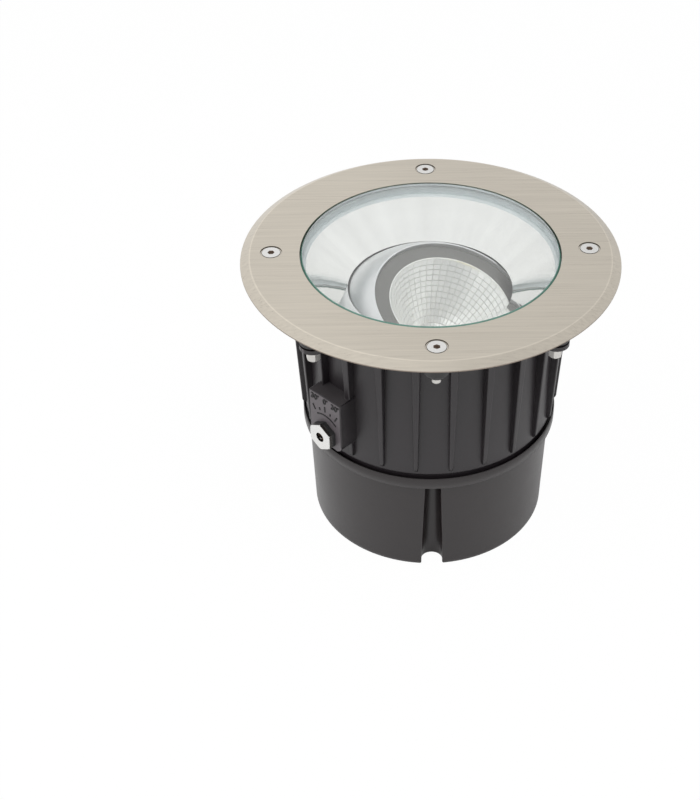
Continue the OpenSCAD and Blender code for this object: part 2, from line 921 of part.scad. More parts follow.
// Closed outline of the reflector wall: the faceted inside, the rim and the plain outside
function bowl_outline() = concat(
    [for (i = [0 : facet_rings])
        let (up = holder_top + i * (bezel_low - holder_top) / facet_rings)
        [bowl_r(up), up]],
    [[reflector_rim_r + reflector_rim_w, bezel_low],
     [reflector_rim_r + reflector_rim_w, bezel_low - reflector_t]],
    [for (i = [reflector_back_steps : -1 : 0])
        let (up = holder_top + i * (bezel_low - reflector_t - holder_top) / reflector_back_steps)
        [bowl_r(up) + 2 * reflector_t, up]]
);

// Reflector bowl whose inside is a grid of flat facets
module lamp_reflector() {
    outline = bowl_outline();
    n = len(outline);
    color([0.9, 0.9, 0.88])
        on_lamp()
            polyhedron(
                points = [
                    for (j = [0 : facet_count - 1])
                        for (p = outline)
                            [p[0] * cos(j * 360 / facet_count), p[0] * sin(j * 360 / facet_count), p[1]]
                ],
                faces = [
                    for (j = [0 : facet_count - 1])
                        for (i = [0 : n - 1])
                            let (k = (j + 1) % facet_count, m = (i + 1) % n)
                            [j * n + i, j * n + m, k * n + m, k * n + i]
                ]
            );
}

// Square ceramic board under the holder
module led_board() {
    color([0.93, 0.93, 0.9])
        on_lamp()
            translate([-board_w / 2, -board_w / 2, sink_top])
                cube([board_w, board_w, board_t]);
}

// Round yellow emitter on the board
module led_emitter() {
    color([0.95, 0.85, 0.4])
        on_lamp()
            translate([0, 0, sink_top + board_t])
                cylinder(h = emitter_t, r = emitter_d / 2);
}

// White holder that clamps the board and carries the reflector's neck
module led_holder() {
    hole_r = board_w / 2 * holder_hole_share;
    color([0.95, 0.95, 0.95])
        on_lamp()
            difference() {
                translate([0, 0, sink_top])
                    cylinder(h = holder_h, r = holder_r);
                translate([0, 0, sink_top - over])
                    cylinder(h = holder_h + 2 * over, r = hole_r);
                translate([-board_w / 2 - side_gap, -board_w / 2 - side_gap, sink_top - over])
                    cube([board_w + 2 * side_gap, board_w + 2 * side_gap, board_t + over]);
            }
}

// Heat sink: a round plate with fins on both sides of the bracket, clear of the housing floor
module lamp_heatsink() {
    color([0.6, 0.6, 0.62])
        on_lamp()
            difference() {
                union() {
                    translate([0, 0, sink_low])
                        cylinder(h = sink_t, r = sink_r);
                    intersection() {
                        rod(-sink_r, sink_r, fin_reach);
                        for (i = [0 : fin_sides - 1])
                            for (side = [-1, 1])
                                heatsink_fin(side * (fin_first + i * fin_pitch));
                    }
                }
                for (side = [-1, 1])
                    translate([side * yoke_screw_at, 0, sink_low - over])
                        cylinder(h = small_screw_h - yoke_t + over + fit_gap, r = small_screw_r + fit_gap);
            }
}

module heatsink_fin(at) {
    half_l = sink_r * fin_length_share;
    translate([-half_l, at - fin_t / 2, -fin_reach])
        cube([2 * half_l, fin_t, fin_reach + sink_low + sink_t / 2]);
}

// Bracket from ear to ear, with both ends turned down
module lamp_yoke() {
    color([0.66, 0.67, 0.68])
        on_lamp()
            difference() {
                union() {
                    translate([-tab_out, -yoke_w / 2, yoke_low])
                        cube([2 * tab_out, yoke_w, yoke_t]);
                    for (side = [-1, 1])
                        translate([side * (tab_in + tab_out) / 2, 0, (yoke_low - ear_drop) / 2])
                            cube([yoke_t, yoke_w, yoke_low + ear_drop], center = true);
                }
                rod(-tab_out - over, tab_out + over, spindle_r + fit_gap);
                ear_screw_holes(tab_in - over, ear_screw_r + fit_gap);
                for (side = [-1, 1])
                    translate([side * yoke_screw_at, 0, yoke_low - over])
                        cylinder(h = yoke_t + 2 * over, r = small_screw_r + fit_gap);
            }
}

// Screws that hold the heat sink to the bracket
module yoke_screws() {
    color([0.75, 0.75, 0.77])
        on_lamp()
            for (side = [-1, 1])
                translate([side * yoke_screw_at, 0, yoke_low]) {
                    translate([0, 0, -small_head_h])
                        cylinder(h = small_head_h, r = small_head_r);
                    translate([0, 0, -small_head_h])
                        cylinder(h = small_head_h + small_screw_h, r = small_screw_r);
                }
}

// Screws that hold the bracket's ends to the ears of the shell
module ear_screws() {
    color([0.75, 0.75, 0.77])
        on_lamp()
            for (turn = [0, 180])
                rotate([0, 0, turn])
                    for (side = [-1, 1])
                        translate([0, side * ear_screw_at, 0]) {
                            rod(tab_in - ear_head_h, tab_in, ear_head_r);
                            rod(tab_in - ear_head_h, tab_in + ear_screw_l, ear_screw_r);
                        }
}

// Base: a drafted pot with a lip, two grooves, screw posts and the cable entry
module base_housing() {
    color([0.29, 0.28, 0.28])
        difference() {
            union() {
                difference() {
                    base_outside();
                    base_inside();
                }
                intersection() {
                    base_outside();
                    base_inner_walls();
                }
                on_entry()
                    rod(entry_back, entry_face, entry_pad_r);
            }
            round_about(groove_count, 90, groove_mid)
                base_groove();
            round_about(post_count, post_deg, post_at)
                translate([0, 0, body_low - post_screw_h])
                    cylinder(h = post_screw_h + over, r = small_screw_r + fit_gap);
            on_entry()
                rod(entry_back - over, entry_face + over, entry_r + fit_gap);
            tray_screw_places()
                translate([0, 0, base_floor_t / 2])
                    cylinder(h = base_floor_t, r = ear_screw_r + fit_gap);
        }
}

module base_outside() {
    rotate_extrude()
        polygon([
            [0, 0],
            [base_low_r - base_foot_chamfer, 0],
            [base_low_r, base_foot_chamfer],
            [base_top_r, lip_low],
            [lip_r - lip_chamfer, lip_low],
            [lip_r, lip_low + lip_chamfer],
            [lip_r, base_h - lip_chamfer],
            [lip_r - lip_chamfer, base_h],
            [lip_in_r, base_h],
            [lip_in_r, shoulder],
            [0, shoulder]
        ]);
}

module base_inside() {
    rotate_extrude()
        polygon([
            [0, base_floor_t],
            [base_in_low_r, base_floor_t],
            [base_in_top_r, lip_low],
            [base_in_top_r, shoulder + over],
            [0, shoulder + over]
        ]);
}

// Walls behind the grooves, and the posts that take the housing screws
module base_inner_walls() {
    round_about(groove_count, 90, groove_mid)
        cylinder(h = shoulder, r = groove_r + groove_wall);
    round_about(post_count, post_deg, post_at) {
        cylinder(h = shoulder, r = post_r);
        translate([0, -post_r / 2, 0])
            cube([base_in_top_r - post_at + base_wall / 2, post_r, shoulder]);
    }
}

// One groove: drafted, round at the back and open to the outside
module base_groove() {
    rotate_extrude()
        groove_half();
    rotate([90, 0, 90])
        linear_extrude(groove_depth) {
            groove_half();
            mirror([1, 0, 0])
                groove_half();
        }
}

// Half the height section of a groove, with its round corner at the foot
module groove_half() {
    foot_w = groove_r + groove_corner_r;
    corner = [
        for (a = [0:groove_corner_step_deg:90])
            [foot_w - groove_corner_r * sin(a), groove_corner_r - groove_corner_r * cos(a)]
    ];
    polygon(concat([[0, -over], [foot_w, -over]], corner, [[groove_top_r, groove_top], [0, groove_top]]));
}

// Flat seal between the base shoulder and the housing
module base_seal() {
    color([0.08, 0.08, 0.08])
        tube(shoulder, body_low, spigot_r - side_gap, spigot_r - base_seal_w);
}

// Screws through the housing floor into the posts of the base
module base_screws() {
    color([0.75, 0.75, 0.77])
        round_about(post_count, post_deg, post_at) {
            translate([0, 0, floor_top])
                cylinder(h = small_head_h, r = small_head_r);
            translate([0, 0, body_low - post_screw_h + over])
                cylinder(h = post_screw_h - over + floor_t + small_head_h, r = small_screw_r);
        }
}

// Rubber grommet for the lamp's lead, in the housing floor
module floor_grommet() {
    color([0.1, 0.1, 0.1])
        translate([0, grommet_at, 0])
            difference() {
                union() {
                    translate([0, 0, body_low])
                        cylinder(h = floor_t, r = grommet_neck_r);
                    translate([0, 0, floor_top])
                        cylinder(h = grommet_rim_h, r = grommet_rim_r);
                    translate([0, 0, body_low - grommet_rim_h])
                        cylinder(h = grommet_rim_h, r = grommet_rim_r);
                }
                translate([0, 0, body_low - grommet_rim_h - over])
                    cylinder(h = floor_t + 2 * grommet_rim_h + 2 * over, r = grommet_hole_r);
            }
}

// Sheet tray with its two long edges turned up
module driver_tray() {
    color([0.7, 0.71, 0.72])
        translate([0, 0, base_floor_t])
            difference() {
                union() {
                    translate([-tray_l / 2, -tray_w / 2, 0])
                        cube([tray_l, tray_w, tray_t]);
                    for (side = [-1, 1])
                        translate([-tray_l / 2, side * (tray_w - tray_t) / 2 - tray_t / 2, 0])
                            cube([tray_l, tray_t, tray_lip_h]);
                }
                tray_screw_places()
                    translate([0, 0, -over])
                        cylinder(h = tray_t + 2 * over, r = ear_screw_r + fit_gap);
            }
}

module tray_screw_places() {
    for (x = [-1, 1])
        for (y = [-1, 1])
            translate([x * (tray_l / 2 - tray_screw_at), y * (tray_w / 2 - tray_screw_at), 0])
                children();
}

// Screws that hold the tray to the base floor
module tray_screws() {
    color([0.75, 0.75, 0.77])
        tray_screw_places() {
            translate([0, 0, base_floor_t + tray_t])
                cylinder(h = ear_head_h, r = ear_head_r);
            translate([0, 0, base_floor_t / 2 + fit_gap])
                cylinder(h = base_floor_t / 2 + tray_t - fit_gap + ear_head_h, r = ear_screw_r);
        }
}

// Potted driver box with round long edges and a screw ear at each end
module driver() {
    color([0.85, 0.85, 0.86])
        translate([0, driver_y, base_floor_t + tray_t])
            difference() {
                union() {
                    translate([-driver_l / 2 + driver_ear_l, 0, 0])
                        rotate([90, 0, 90])
                            linear_extrude(driver_l - 2 * driver_ear_l)
                                driver_outline();
                    translate([-driver_l / 2, -driver_w / 2, 0])
                        cube([driver_l, driver_w, ear_t]);
                }
                for (side = [-1, 1])
                    translate([side * (driver_l - driver_ear_l) / 2, 0, -over])
                        cylinder(h = ear_t + 2 * over, r = small_screw_r);
            }
}

module driver_outline() {
    translate([-driver_w / 2, 0])
        square([driver_w, driver_h - driver_edge_r]);
    translate([driver_edge_r - driver_w / 2, 0])
        square([driver_w - 2 * driver_edge_r, driver_h]);
    for (side = [-1, 1])
        translate([side * (driver_w / 2 - driver_edge_r), driver_h - driver_edge_r])
            circle(r = driver_edge_r);
}

// Terminal block: a stepped bar with wire holes on both sides and screw wells on top
module terminal_block() {
    way = terminal_l / terminal_ways;
    step_h = terminal_h * terminal_step_h_share;
    step_w = terminal_w * terminal_step_w_share;
    color([0.9, 0.9, 0.88])
        translate([0, terminal_y, base_floor_t + tray_t])
            difference() {
                translate([-terminal_l / 2, -terminal_w / 2, 0])
                    cube([terminal_l, terminal_w, terminal_h]);
                for (side = [-1, 1])
                    translate([0, side * (terminal_w - step_w) / 2, terminal_h - step_h / 2])
                        cube([terminal_l + 2 * over, step_w, step_h], center = true);
                for (i = [0 : terminal_ways - 1])
                    translate([(i + 0.5) * way - terminal_l / 2, 0, 0]) {
                        translate([0, -terminal_w / 2 - over, (terminal_h - step_h) / 2])
                            rotate([-90, 0, 0])
                                cylinder(h = terminal_w + 2 * over, r = terminal_hole_r);
                        translate([0, 0, terminal_h - step_h])
                            cylinder(h = step_h + over, r = terminal_well_r);
                    }
            }
}

// Cable gland body: hexagon outside the base, tail through the wall, cup for the seal
module gland_body() {
    color([0.12, 0.12, 0.12])
        on_entry()
            difference() {
                union() {
                    hex_rod(entry_face, entry_face + entry_hex_t, entry_af);
                    rod(entry_back - lock_nut_t - entry_tail_h, entry_face + entry_hex_t / 2, entry_r);
                    rod(entry_face, entry_face + entry_hex_t + cup_l, cup_r);
                }
                rod(entry_back - lock_nut_t - entry_tail_h - over,
                    entry_face + entry_hex_t + cup_l + over, cable_r + cable_gap);
                rod(entry_face + entry_hex_t, entry_face + entry_hex_t + cup_l + over, cup_r - cup_wall);
            }
}

// Lock nut inside the base
module gland_lock_nut() {
    color([0.12, 0.12, 0.12])
        on_entry()
            difference() {
                hex_rod(entry_back - lock_nut_t, entry_back, entry_af);
                rod(entry_back - lock_nut_t - over, entry_back + over, entry_r + fit_gap);
            }
}

// Rubber ring that grips the cable
module gland_seal() {
    color([0.08, 0.08, 0.08])
        on_entry()
            difference() {
                rod(entry_face + entry_hex_t, entry_face + entry_hex_t + cup_l, cup_r - cup_wall - fit_gap);
                rod(entry_face + entry_hex_t - over, entry_face + entry_hex_t + cup_l + over,
                    cable_r + cable_gap / 2);
            }
}

// Cap nut that squeezes the rubber ring
module gland_cap() {
    cap_start = entry_face + entry_hex_t + side_gap;
    cup_end = entry_face + entry_hex_t + cup_l;
    color([0.12, 0.12, 0.12])
        on_entry()
            difference() {
                intersection() {
                    hex_rod(cap_start, cap_start + cap_l, entry_af);
                    translate([cap_start, 0, 0])
                        rotate([0, 90, 0])
                            cylinder(h = cap_l, r1 = entry_corner_r - cap_chamfer + cap_l,
                                 r2 = entry_corner_r - cap_chamfer);
                }
                rod(cap_start - over, cup_end, cup_r + fit_gap);
                rod(cap_start - over, cap_start + cap_l + over, cable_r + cable_gap);
            }
}

trim_ring();
ring_screws();
glass_lens();
glass_gasket();
clamp_frame();
frame_bolts();
frame_nuts();
flange_seal();
cone_reflector();
body_housing();
adjuster_gland_nut();
adjuster_hex_seal();
spindle_o_ring();
adjuster_spindle();
pivot_bush();
pivot_pin();
lamp_shell();
lamp_bezel();
lamp_reflector();
led_board();
led_emitter();
led_holder();
lamp_heatsink();
lamp_yoke();
yoke_screws();
ear_screws();
base_housing();
base_seal();
base_screws();
floor_grommet();
driver_tray();
tray_screws();
driver();
terminal_block();
gland_body();
gland_lock_nut();
gland_seal();
gland_cap();
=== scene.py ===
"""In-ground well light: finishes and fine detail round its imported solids.

Lengths are metres. +Z is the way the light shines, and the front groove is at -Y.
"""

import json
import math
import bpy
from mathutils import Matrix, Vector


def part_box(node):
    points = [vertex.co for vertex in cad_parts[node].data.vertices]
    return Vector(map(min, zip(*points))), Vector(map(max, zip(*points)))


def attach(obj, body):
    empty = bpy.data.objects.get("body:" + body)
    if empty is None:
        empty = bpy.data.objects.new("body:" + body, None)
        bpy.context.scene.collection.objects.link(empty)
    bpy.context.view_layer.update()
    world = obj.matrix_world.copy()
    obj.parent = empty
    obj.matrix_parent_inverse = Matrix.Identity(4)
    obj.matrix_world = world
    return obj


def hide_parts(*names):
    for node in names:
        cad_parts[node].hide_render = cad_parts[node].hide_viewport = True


bl_info = {
    "name": "In-ground well light",
    "version": (1, 0, 0),
    "blender": (4, 5, 0),
    "location": "3D View > Sidebar > Well light",
    "description": "Finishes, facets, tilt scale and studio for a round in-ground well light",
    "category": "Object",
}

import bmesh
import bpy
from bpy.props import FloatProperty, FloatVectorProperty, IntProperty, PointerProperty
from mathutils import Matrix, Vector

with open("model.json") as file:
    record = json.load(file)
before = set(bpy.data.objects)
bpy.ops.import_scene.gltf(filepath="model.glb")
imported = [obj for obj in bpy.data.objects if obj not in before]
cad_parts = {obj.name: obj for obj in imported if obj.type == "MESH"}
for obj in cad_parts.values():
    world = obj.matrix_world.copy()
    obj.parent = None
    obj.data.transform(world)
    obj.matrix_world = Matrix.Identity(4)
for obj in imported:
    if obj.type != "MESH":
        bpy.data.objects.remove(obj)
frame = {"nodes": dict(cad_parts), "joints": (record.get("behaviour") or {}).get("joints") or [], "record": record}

MM = 0.001
TURN = 2 * math.pi
TOUCH = 0.00001  # vertices nearer than this are one
SEAM = 0.000002  # the same, where a spun profile closes
FLAT = math.radians(0.4)  # faces that meet at less than this are one
LATHE_STEPS = 128
GLASS_STEPS = 160


def solid_box(node):
    """Lowest and highest corner of a solid, in metres."""
    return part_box(node)


RING_TOP = solid_box("trim_ring")[1].z
RING_R = solid_box("trim_ring")[1].x
GLASS_LOW = solid_box("glass_lens")[0].z
GLASS_STEP_R = solid_box("glass_lens")[1].x
CONE_TOP = solid_box("cone_reflector")[1].z

# The lamp leans up to 30 degrees from upright, and its joint counts from the lean at rest
LAMP_JOINT = frame["joints"][0]
PIVOT = Vector(LAMP_JOINT["pos_m"])
LEAN_MAX = 30
LEAN = math.radians(LEAN_MAX - LAMP_JOINT["range_deg"][1])
BLOCK_TURN = math.radians(225)

# Frames at the pivot: X out along the lamp's axis to the block, and the same leaning with the lamp at rest
ON_AXIS = Matrix.Translation(PIVOT) @ Matrix.Rotation(BLOCK_TURN, 4, "Z")
ON_LAMP = ON_AXIS @ Matrix.Rotation(-LEAN, 4, "X")
BLOCK_OUT = ON_AXIS.to_3x3() @ Vector((1, 0, 0))
# Turns a mark drawn in the XY plane to lie on a face that looks along X
FACE_OUT = Matrix(((0, 0, 1, 0), (1, 0, 0, 0), (0, 1, 0, 0), (0, 0, 0, 1)))

# How far a face's normal goes along a direction, from 0 for side on to 1 for square on
FLUSH = 0.999
LEVEL = 0.99
UPRIGHT = 0.35
SIDE_ON = 0.3
# Tilt of the strip where the slope of the ring starts, which carries a painted highlight
RING_LINE_TILT = (0.945, 0.9995)

# Tilt scale, in degrees and millimetres: ends of the arc, angle and outer end of each tick, and for each
# number its text, place across, place up and distance to its degree mark
ARC_SPAN = (-27, 42)
TICKS = ((-30, 22.6), (-15, 20.0), (0, 22.5), (15, 19.9), (30, 22.6))
NUMBERS = (("30", -9.8, 26.2, 3.9), ("0", -0.1, 26.6, 2.4), ("30", 8.8, 26.2, 3.9))
CAPITAL_SHARE = 0.72  # height of a numeral over its font size

# Softening of the marks and their place on the block face, as shares of their own height or size
TICK_BEVEL = 0.4
DOT_BEVEL = 0.35
NUMBER_BEVEL = 0.15
NUMBER_SWELL = 0.02
MARK_LIFT = 0.35

# Name, place, size and power of each soft lamp, and the point that all of them look at
STUDIO_LAMPS = (
    ("lamp_over", (0.0, -0.9, 1.8), (1.6, 1.0), 19.0),
    ("lamp_left", (-1.4, -0.5, 0.5), (0.9, 1.0), 10.0),
    ("lamp_right", (1.4, -0.4, 0.5), (0.8, 1.0), 5.0),
)
LAMP_AIM = Vector((0, 0, 0.12))

# Level of the floor to the camera and through the glass. To mirrors it falls from left to right, given as
# X and level
FLOOR_W = 12.0
FLOOR_SEEN = 0.98
FLOOR_IN_GLASS = 0.8
FLOOR_LEFT, FLOOR_RIGHT = (-0.2, 1.0), (0.03, 0.2)

WORLD_LEAN = 3.75  # how much faster the mirrored surroundings brighten to the left than upwards
SENSOR_MM = 36.0
CLIP = (0.01, 50.0)


# Values that a user would change


def length(name, text, default, low=0.0, high=1.0):
    """A length that a user can change, in metres."""
    return FloatProperty(name=name, description=text, default=default, min=low, max=high,
                         subtype="DISTANCE", unit="LENGTH", precision=5)


def colour(name, text, default):
    """A colour that a user can change."""
    return FloatVectorProperty(name=name, description=text, default=default, size=3, min=0.0, max=1.0,
                               subtype="COLOR")


class WellLightSizes(bpy.types.PropertyGroup):
    """Sizes of the fine forms"""

    casting_edge: length("Casting edge", "Rounding of the edges of housing, frame and cable gland", 0.00075)
    base_edge: length("Base edge", "Rounding of the edges of the base", 0.000975)
    shortest_edge: length("Shortest edge", "Shortest line of housing and base that is rounded", 0.0015)
    groove_foot: length("Groove foot", "Height below which the grooves keep their own round corners",
                        0.0026)
    metal_edge: length("Metal edge", "Rounding of the adjuster's nut, seal and spindle", 0.0003)
    ring_edge: length("Ring edge", "Rounding of the edges of the trim ring", 0.00018)
    screw_edge: length("Screw edge", "Rounding of the edges of ring screws and long nuts", 0.00021)
    shell_edge: length("Shell edge", "Rounding of the edges of the lamp shell", 0.00015)
    screw_ring_r: length("Screw circle", "Radius of the circle of ring screws", 0.1047)
    countersink_r: length("Countersink", "Radius of the countersinks", 0.00715)
    ring_line: length("Ring line", "Half width of the line where the slope of the ring starts", 0.0007)
    # The dull band's dark colour is painted shade on the upright rim
    rim_t: length("Rim", "Thickness of the dull band round the ring", 0.002)
    socket_r: length("Socket", "Radius over the corners of the hexagon sockets", 0.0025)
    socket_drop: length("Socket drop", "Depth of the screw heads below the ring", 0.0002)
    socket_deep: length("Socket depth", "Depth of the hexagon sockets", 0.0027)
    head_h: length("Screw head", "Depth over which the ring screws are bright", 0.006)
    opening_r: length("Opening radius", "Radius of the opening in the trim ring", 0.086)
    glass_gap: length("Glass gap", "Gap between the glass and the ring", 0.0004)
    glass_arris: length("Glass arris", "Height of the bevel at the edge of the glass", 0.0016)
    glass_arris_w: length("Glass arris width", "Width of the bevel at the edge of the glass", 0.00112)
    seal_lip: length("Seal lip", "Height of the seal's lip over the rim of the cone", 0.0012)
    step_drop: length("Glass step", "Depth of the glass step below the top of the ring", 0.0056)
    bowl_neck_r: length("Bowl neck", "Radius of the reflector bowl at its neck", 0.012)
    bowl_rim_r: length("Bowl rim", "Radius of the reflector bowl at its rim", 0.0422)
    bowl_low: length("Bowl low", "Height of the neck above the lamp axis", 0.0173)
    bowl_high: length("Bowl high", "Height of the rim above the lamp axis", 0.0577)
    bowl_wall: length("Bowl wall", "Thickness of the reflector bowl", 0.0012)
    side_slope: FloatProperty(name="Side slope", default=0.15,
                              description="Lean above which a slope counts as a side of its facet")
    lip_w: length("Bowl lip width", "Width of the bright lip round the rim of the bowl", 0.0004)
    lip_h: length("Bowl lip height", "Height of the bright lip round the rim of the bowl", 0.0016)
    facets_round: IntProperty(name="Facets round", description="Facets in one ring of the bowl",
                              default=48, min=12)
    facet_rings: IntProperty(name="Facet rings", description="Rings of facets in the bowl",
                             default=12, min=3)
    facet_groove: length("Facet groove", "Width of the slope round each facet", 0.00022)
    facet_rise: length("Facet rise", "Height of each facet above its groove", 0.0003)
    face_out: length("Block face", "Distance of the block face from the axis of the light", 0.1)
    block_up: length("Block top", "Height of the block above the lamp axis", 0.0305)
    mark_rise: length("Mark rise", "Height of the marks on the block face", 0.0004)
    mark_w: length("Mark width", "Width of the ticks on the block face", 0.0011)
    arc_r: length("Arc radius", "Radius of the arc of the tilt scale", 0.0152)
    arc_w: length("Arc width", "Width of the arc of the tilt scale", 0.00077)
    tick_low: length("Tick start", "Radius of the inner ends of the ticks", 0.018)
    dot_r: length("Dot radius", "Radius of the dot at the end of the arc", 0.00075)
    number_h: length("Number height", "Height of the numbers of the tilt scale", 0.0043)
    degree_r: length("Degree mark", "Radius of the degree marks", 0.00055)
    degree_t: length("Degree line", "Thickness of the degree marks", 0.0004)
    degree_up: length("Degree height", "Height of the degree marks above the middle of their number",
                      0.0019)


class WellLightColours(bpy.types.PropertyGroup):
    """Colours of the finishes"""

    ring: colour("Ring", "Brushed ring", (0.59, 0.543, 0.468))
    # Rim colour: painted shade on the upright edge of the ring
    rim: colour("Rim", "Upright edge of the ring", (0.27, 0.225, 0.19))
    # Countersink colour: dark, as painted shade in the gap round each screw head
    countersink: colour("Countersink", "Countersinks of the ring screws", (0.05, 0.042, 0.034))
    # Socket colour: darker than the steel, as painted shade down in the hexagon sockets
    socket: colour("Socket", "Inside of the hexagon sockets", (0.26, 0.20, 0.16))
    steel: colour("Steel", "Screws and nuts", (0.78, 0.775, 0.76))
    # Dull steel: a rougher, darker copy of the steel; the darker tone is painted shade on the parts below the ring
    dull_steel: colour("Dull steel", "Lower ends of the screws, and the nuts", (0.6, 0.585, 0.56))
    glass: colour("Glass", "Body of the glass", (0.985, 0.995, 0.99))
    glass_pass: colour("Glass shade", "Tint of the light that passes the glass", (0.975, 0.985, 0.98))
    glass_edge: colour("Glass edge", "Edge of the glass", (0.10, 0.22, 0.18))
    silicone: colour("Silicone", "Gasket round the glass", (0.525, 0.562, 0.574))
    mirror: colour("Mirror", "Cone and bowl", (0.87, 0.87, 0.855))
    lamp: colour("Lamp shell", "Matt silver shell", (0.84, 0.85, 0.86))
    bezel: colour("Bezel", "Band round the bowl", (0.168, 0.165, 0.156))
    black: colour("Black coat", "Clamp frame", (0.018, 0.018, 0.018))
    housing: colour("Housing coat", "Ribbed housing", (0.0140, 0.0114, 0.0132))
    # Block face and top: lighter than the housing coat of the same casting, as painted light
    block: colour("Block face", "Flat face of the adjuster block", (0.078, 0.068, 0.074))
    block_top: colour("Block top", "Top of the adjuster block", (0.056, 0.051, 0.054))
    # Nut sides: dark, as a painted reflection of the black housing
    nut_side: colour("Nut sides", "Sides of the gland nut", (0.10, 0.095, 0.09))
    # Scale colour: near black, as painted shade of engraved marks
    scale: colour("Scale", "Marks of the tilt scale", (0.006, 0.006, 0.006))
    base: colour("Base coat", "Smooth base", (0.0162, 0.0128, 0.0132))
    rubber: colour("Rubber", "Seals and grommets", (0.014, 0.014, 0.014))
    gland: colour("Gland plastic", "Cable gland", (0.022, 0.022, 0.023))
    spindle: colour("Spindle", "Dark bronzed spindle", (0.13, 0.085, 0.06))
    aluminium: colour("Aluminium", "Bracket, tray and heat sink", (0.66, 0.67, 0.68))
    emitter: colour("Emitter", "Yellow cover of the diodes", (0.88, 0.68, 0.16))
    white: colour("White plastic", "Board, holder and terminal block", (0.86, 0.86, 0.83))
    bush: colour("Bush plastic", "Bearing bush", (0.70, 0.66, 0.56))


class WellLightStage(bpy.types.PropertyGroup):
    """Camera, lamps and floor"""

    camera_at: FloatVectorProperty(
        name="Camera", description="Place of the camera", size=3, subtype="TRANSLATION", unit="LENGTH",
        default=(-0.0339, -0.7930, 0.7304))
    camera_turn: FloatVectorProperty(
        name="Camera turn", description="Rotation of the camera", size=3, subtype="EULER",
        default=tuple(map(math.radians, (50.69, 0.0, -1.33))))
    lens_mm: FloatProperty(
        name="Lens", description="Focal length on a 36 mm sensor, in millimetres", default=64.73)
    shift_x: FloatProperty(name="Shift", description="Sideways shift of the lens", default=-0.07125)
    world_level: FloatProperty(
        name="World", description="Level of the even light from all sides", default=0.62)
    horizon_level: FloatProperty(
        name="Horizon", description="Level of the mirrored surroundings near the horizon", default=0.84)
    floor: colour("Floor", "Pale floor", (0.90, 0.90, 0.90))


# Materials


class Wire:
    """A socket of a shader that works in sums: each operation adds its Math node."""

    def __init__(self, shop, socket):
        self.shop, self.socket = shop, socket

    def maths(self, operation, *values):
        """The result of one Math node."""
        return self.shop.node("ShaderNodeMath", {"operation": operation}, dict(enumerate(values)))

    def __add__(self, other):
        return self.maths("ADD", self, other)

    def __sub__(self, other):
        return self.maths("SUBTRACT", self, other)

    def __mul__(self, other):
        return self.maths("MULTIPLY", self, other)


class Shop:
    """Adds nodes to one tree."""

    def __init__(self, tree):
        self.tree = tree

    def node(self, kind, settings=None, inputs=None, out=0):
        """Adds a node, with its settings set before the values or links of its sockets."""
        made = self.tree.nodes.new(kind)
        for key, value in (settings or {}).items():
            setattr(made, key, value)
        for key, value in (inputs or {}).items():
            self.feed(made.inputs[key], value)
        return Wire(self, made.outputs[out])

    def feed(self, socket, value):
        """Links a wire to a socket, or sets the socket's value."""
        if isinstance(value, Wire):
            self.tree.links.new(value.socket, socket)
        else:
            socket.default_value = value

    def ray(self, kind):
        """1 for a ray of that kind, and 0 for any other."""
        return self.node("ShaderNodeLightPath", out=f"Is {kind} Ray")

    def mix(self, factor, first, second):
        """Two shaders mixed by a factor."""
        return self.node("ShaderNodeMixShader", None, {0: factor, 1: first, 2: second})


class Finish(Shop):
    """Builds one material: a Principled surface and the pattern nodes that feed it."""

    def __init__(self, name):
        self.material = bpy.data.materials.new(name)
        self.material.use_nodes = True
        super().__init__(self.material.node_tree)
        self.surface = self.tree.nodes["Principled BSDF"]
        self.output = self.tree.nodes["Material Output"]

    def place(self, stretch=(1, 1, 1)):
        """Object coordinates, stretched."""
        at = self.node("ShaderNodeTexCoord", out="Object")
        return self.node("ShaderNodeMapping", None, {"Vector": at, "Scale": stretch})

    def noise(self, scale, detail=2.0, roughness=0.5, stretch=(1, 1, 1)):
        """Noise over the surface, from 0 to 1."""
        return self.node("ShaderNodeTexNoise", None, {
            "Vector": self.place(stretch), "Scale": scale, "Detail": detail, "Roughness": roughness})

    def tones(self, factor, tone, low, high):
        """One tone, from a darker to a lighter level of it, by a factor that varies."""
        return self.node("ShaderNodeMix", {"data_type": "RGBA"},
                         {0: factor, 6: shade(tone, low), 7: shade(tone, high)}, out=2)

    def bump(self, height, strength, distance, under=None):
        """Fine relief, over another one if there is one."""
        inputs = {"Height": height, "Strength": strength, "Distance": distance}
        if under:
            inputs["Normal"] = under
        return self.node("ShaderNodeBump", None, inputs)

    def set(self, **values):
        """Feeds the surface's sockets, which go by the short names in SOCKETS."""
        for key, value in values.items():
            self.feed(self.surface.inputs[SOCKETS[key]], value)
        return self.material


SOCKETS = {
    "base": "Base Color", "roughness": "Roughness", "metallic": "Metallic", "normal": "Normal",
    "specular": "Specular IOR Level", "ior": "IOR", "transmission": "Transmission Weight",
}


def shade(colour_value, level):
    """A colour made darker or lighter, as a colour with alpha."""
    return (*(min(1.0, c * level) for c in colour_value), 1.0)


def brushed_finish(level):
    """Straight brushing along X, with long faint streaks and fine scratches."""
    def build(f, c):
        streak = f.noise(1.0, 3.0, 0.6, stretch=(12, 650, 650))
        fine = f.noise(1.0, 4.0, 0.7, stretch=(60, 4200, 4200))
        cloud = f.noise(9.0, 2.0)
        grain = streak * 0.75 + fine * 0.25
        return f.set(
            base=f.tones(grain * 1.4 + cloud * 0.4 - 0.4, c.ring, level * 0.84, level * 1.2),
            metallic=1.0,
            roughness=grain * 0.2 + 0.2,
            normal=f.bump(grain, 0.22, 0.0001),
        )
    return build


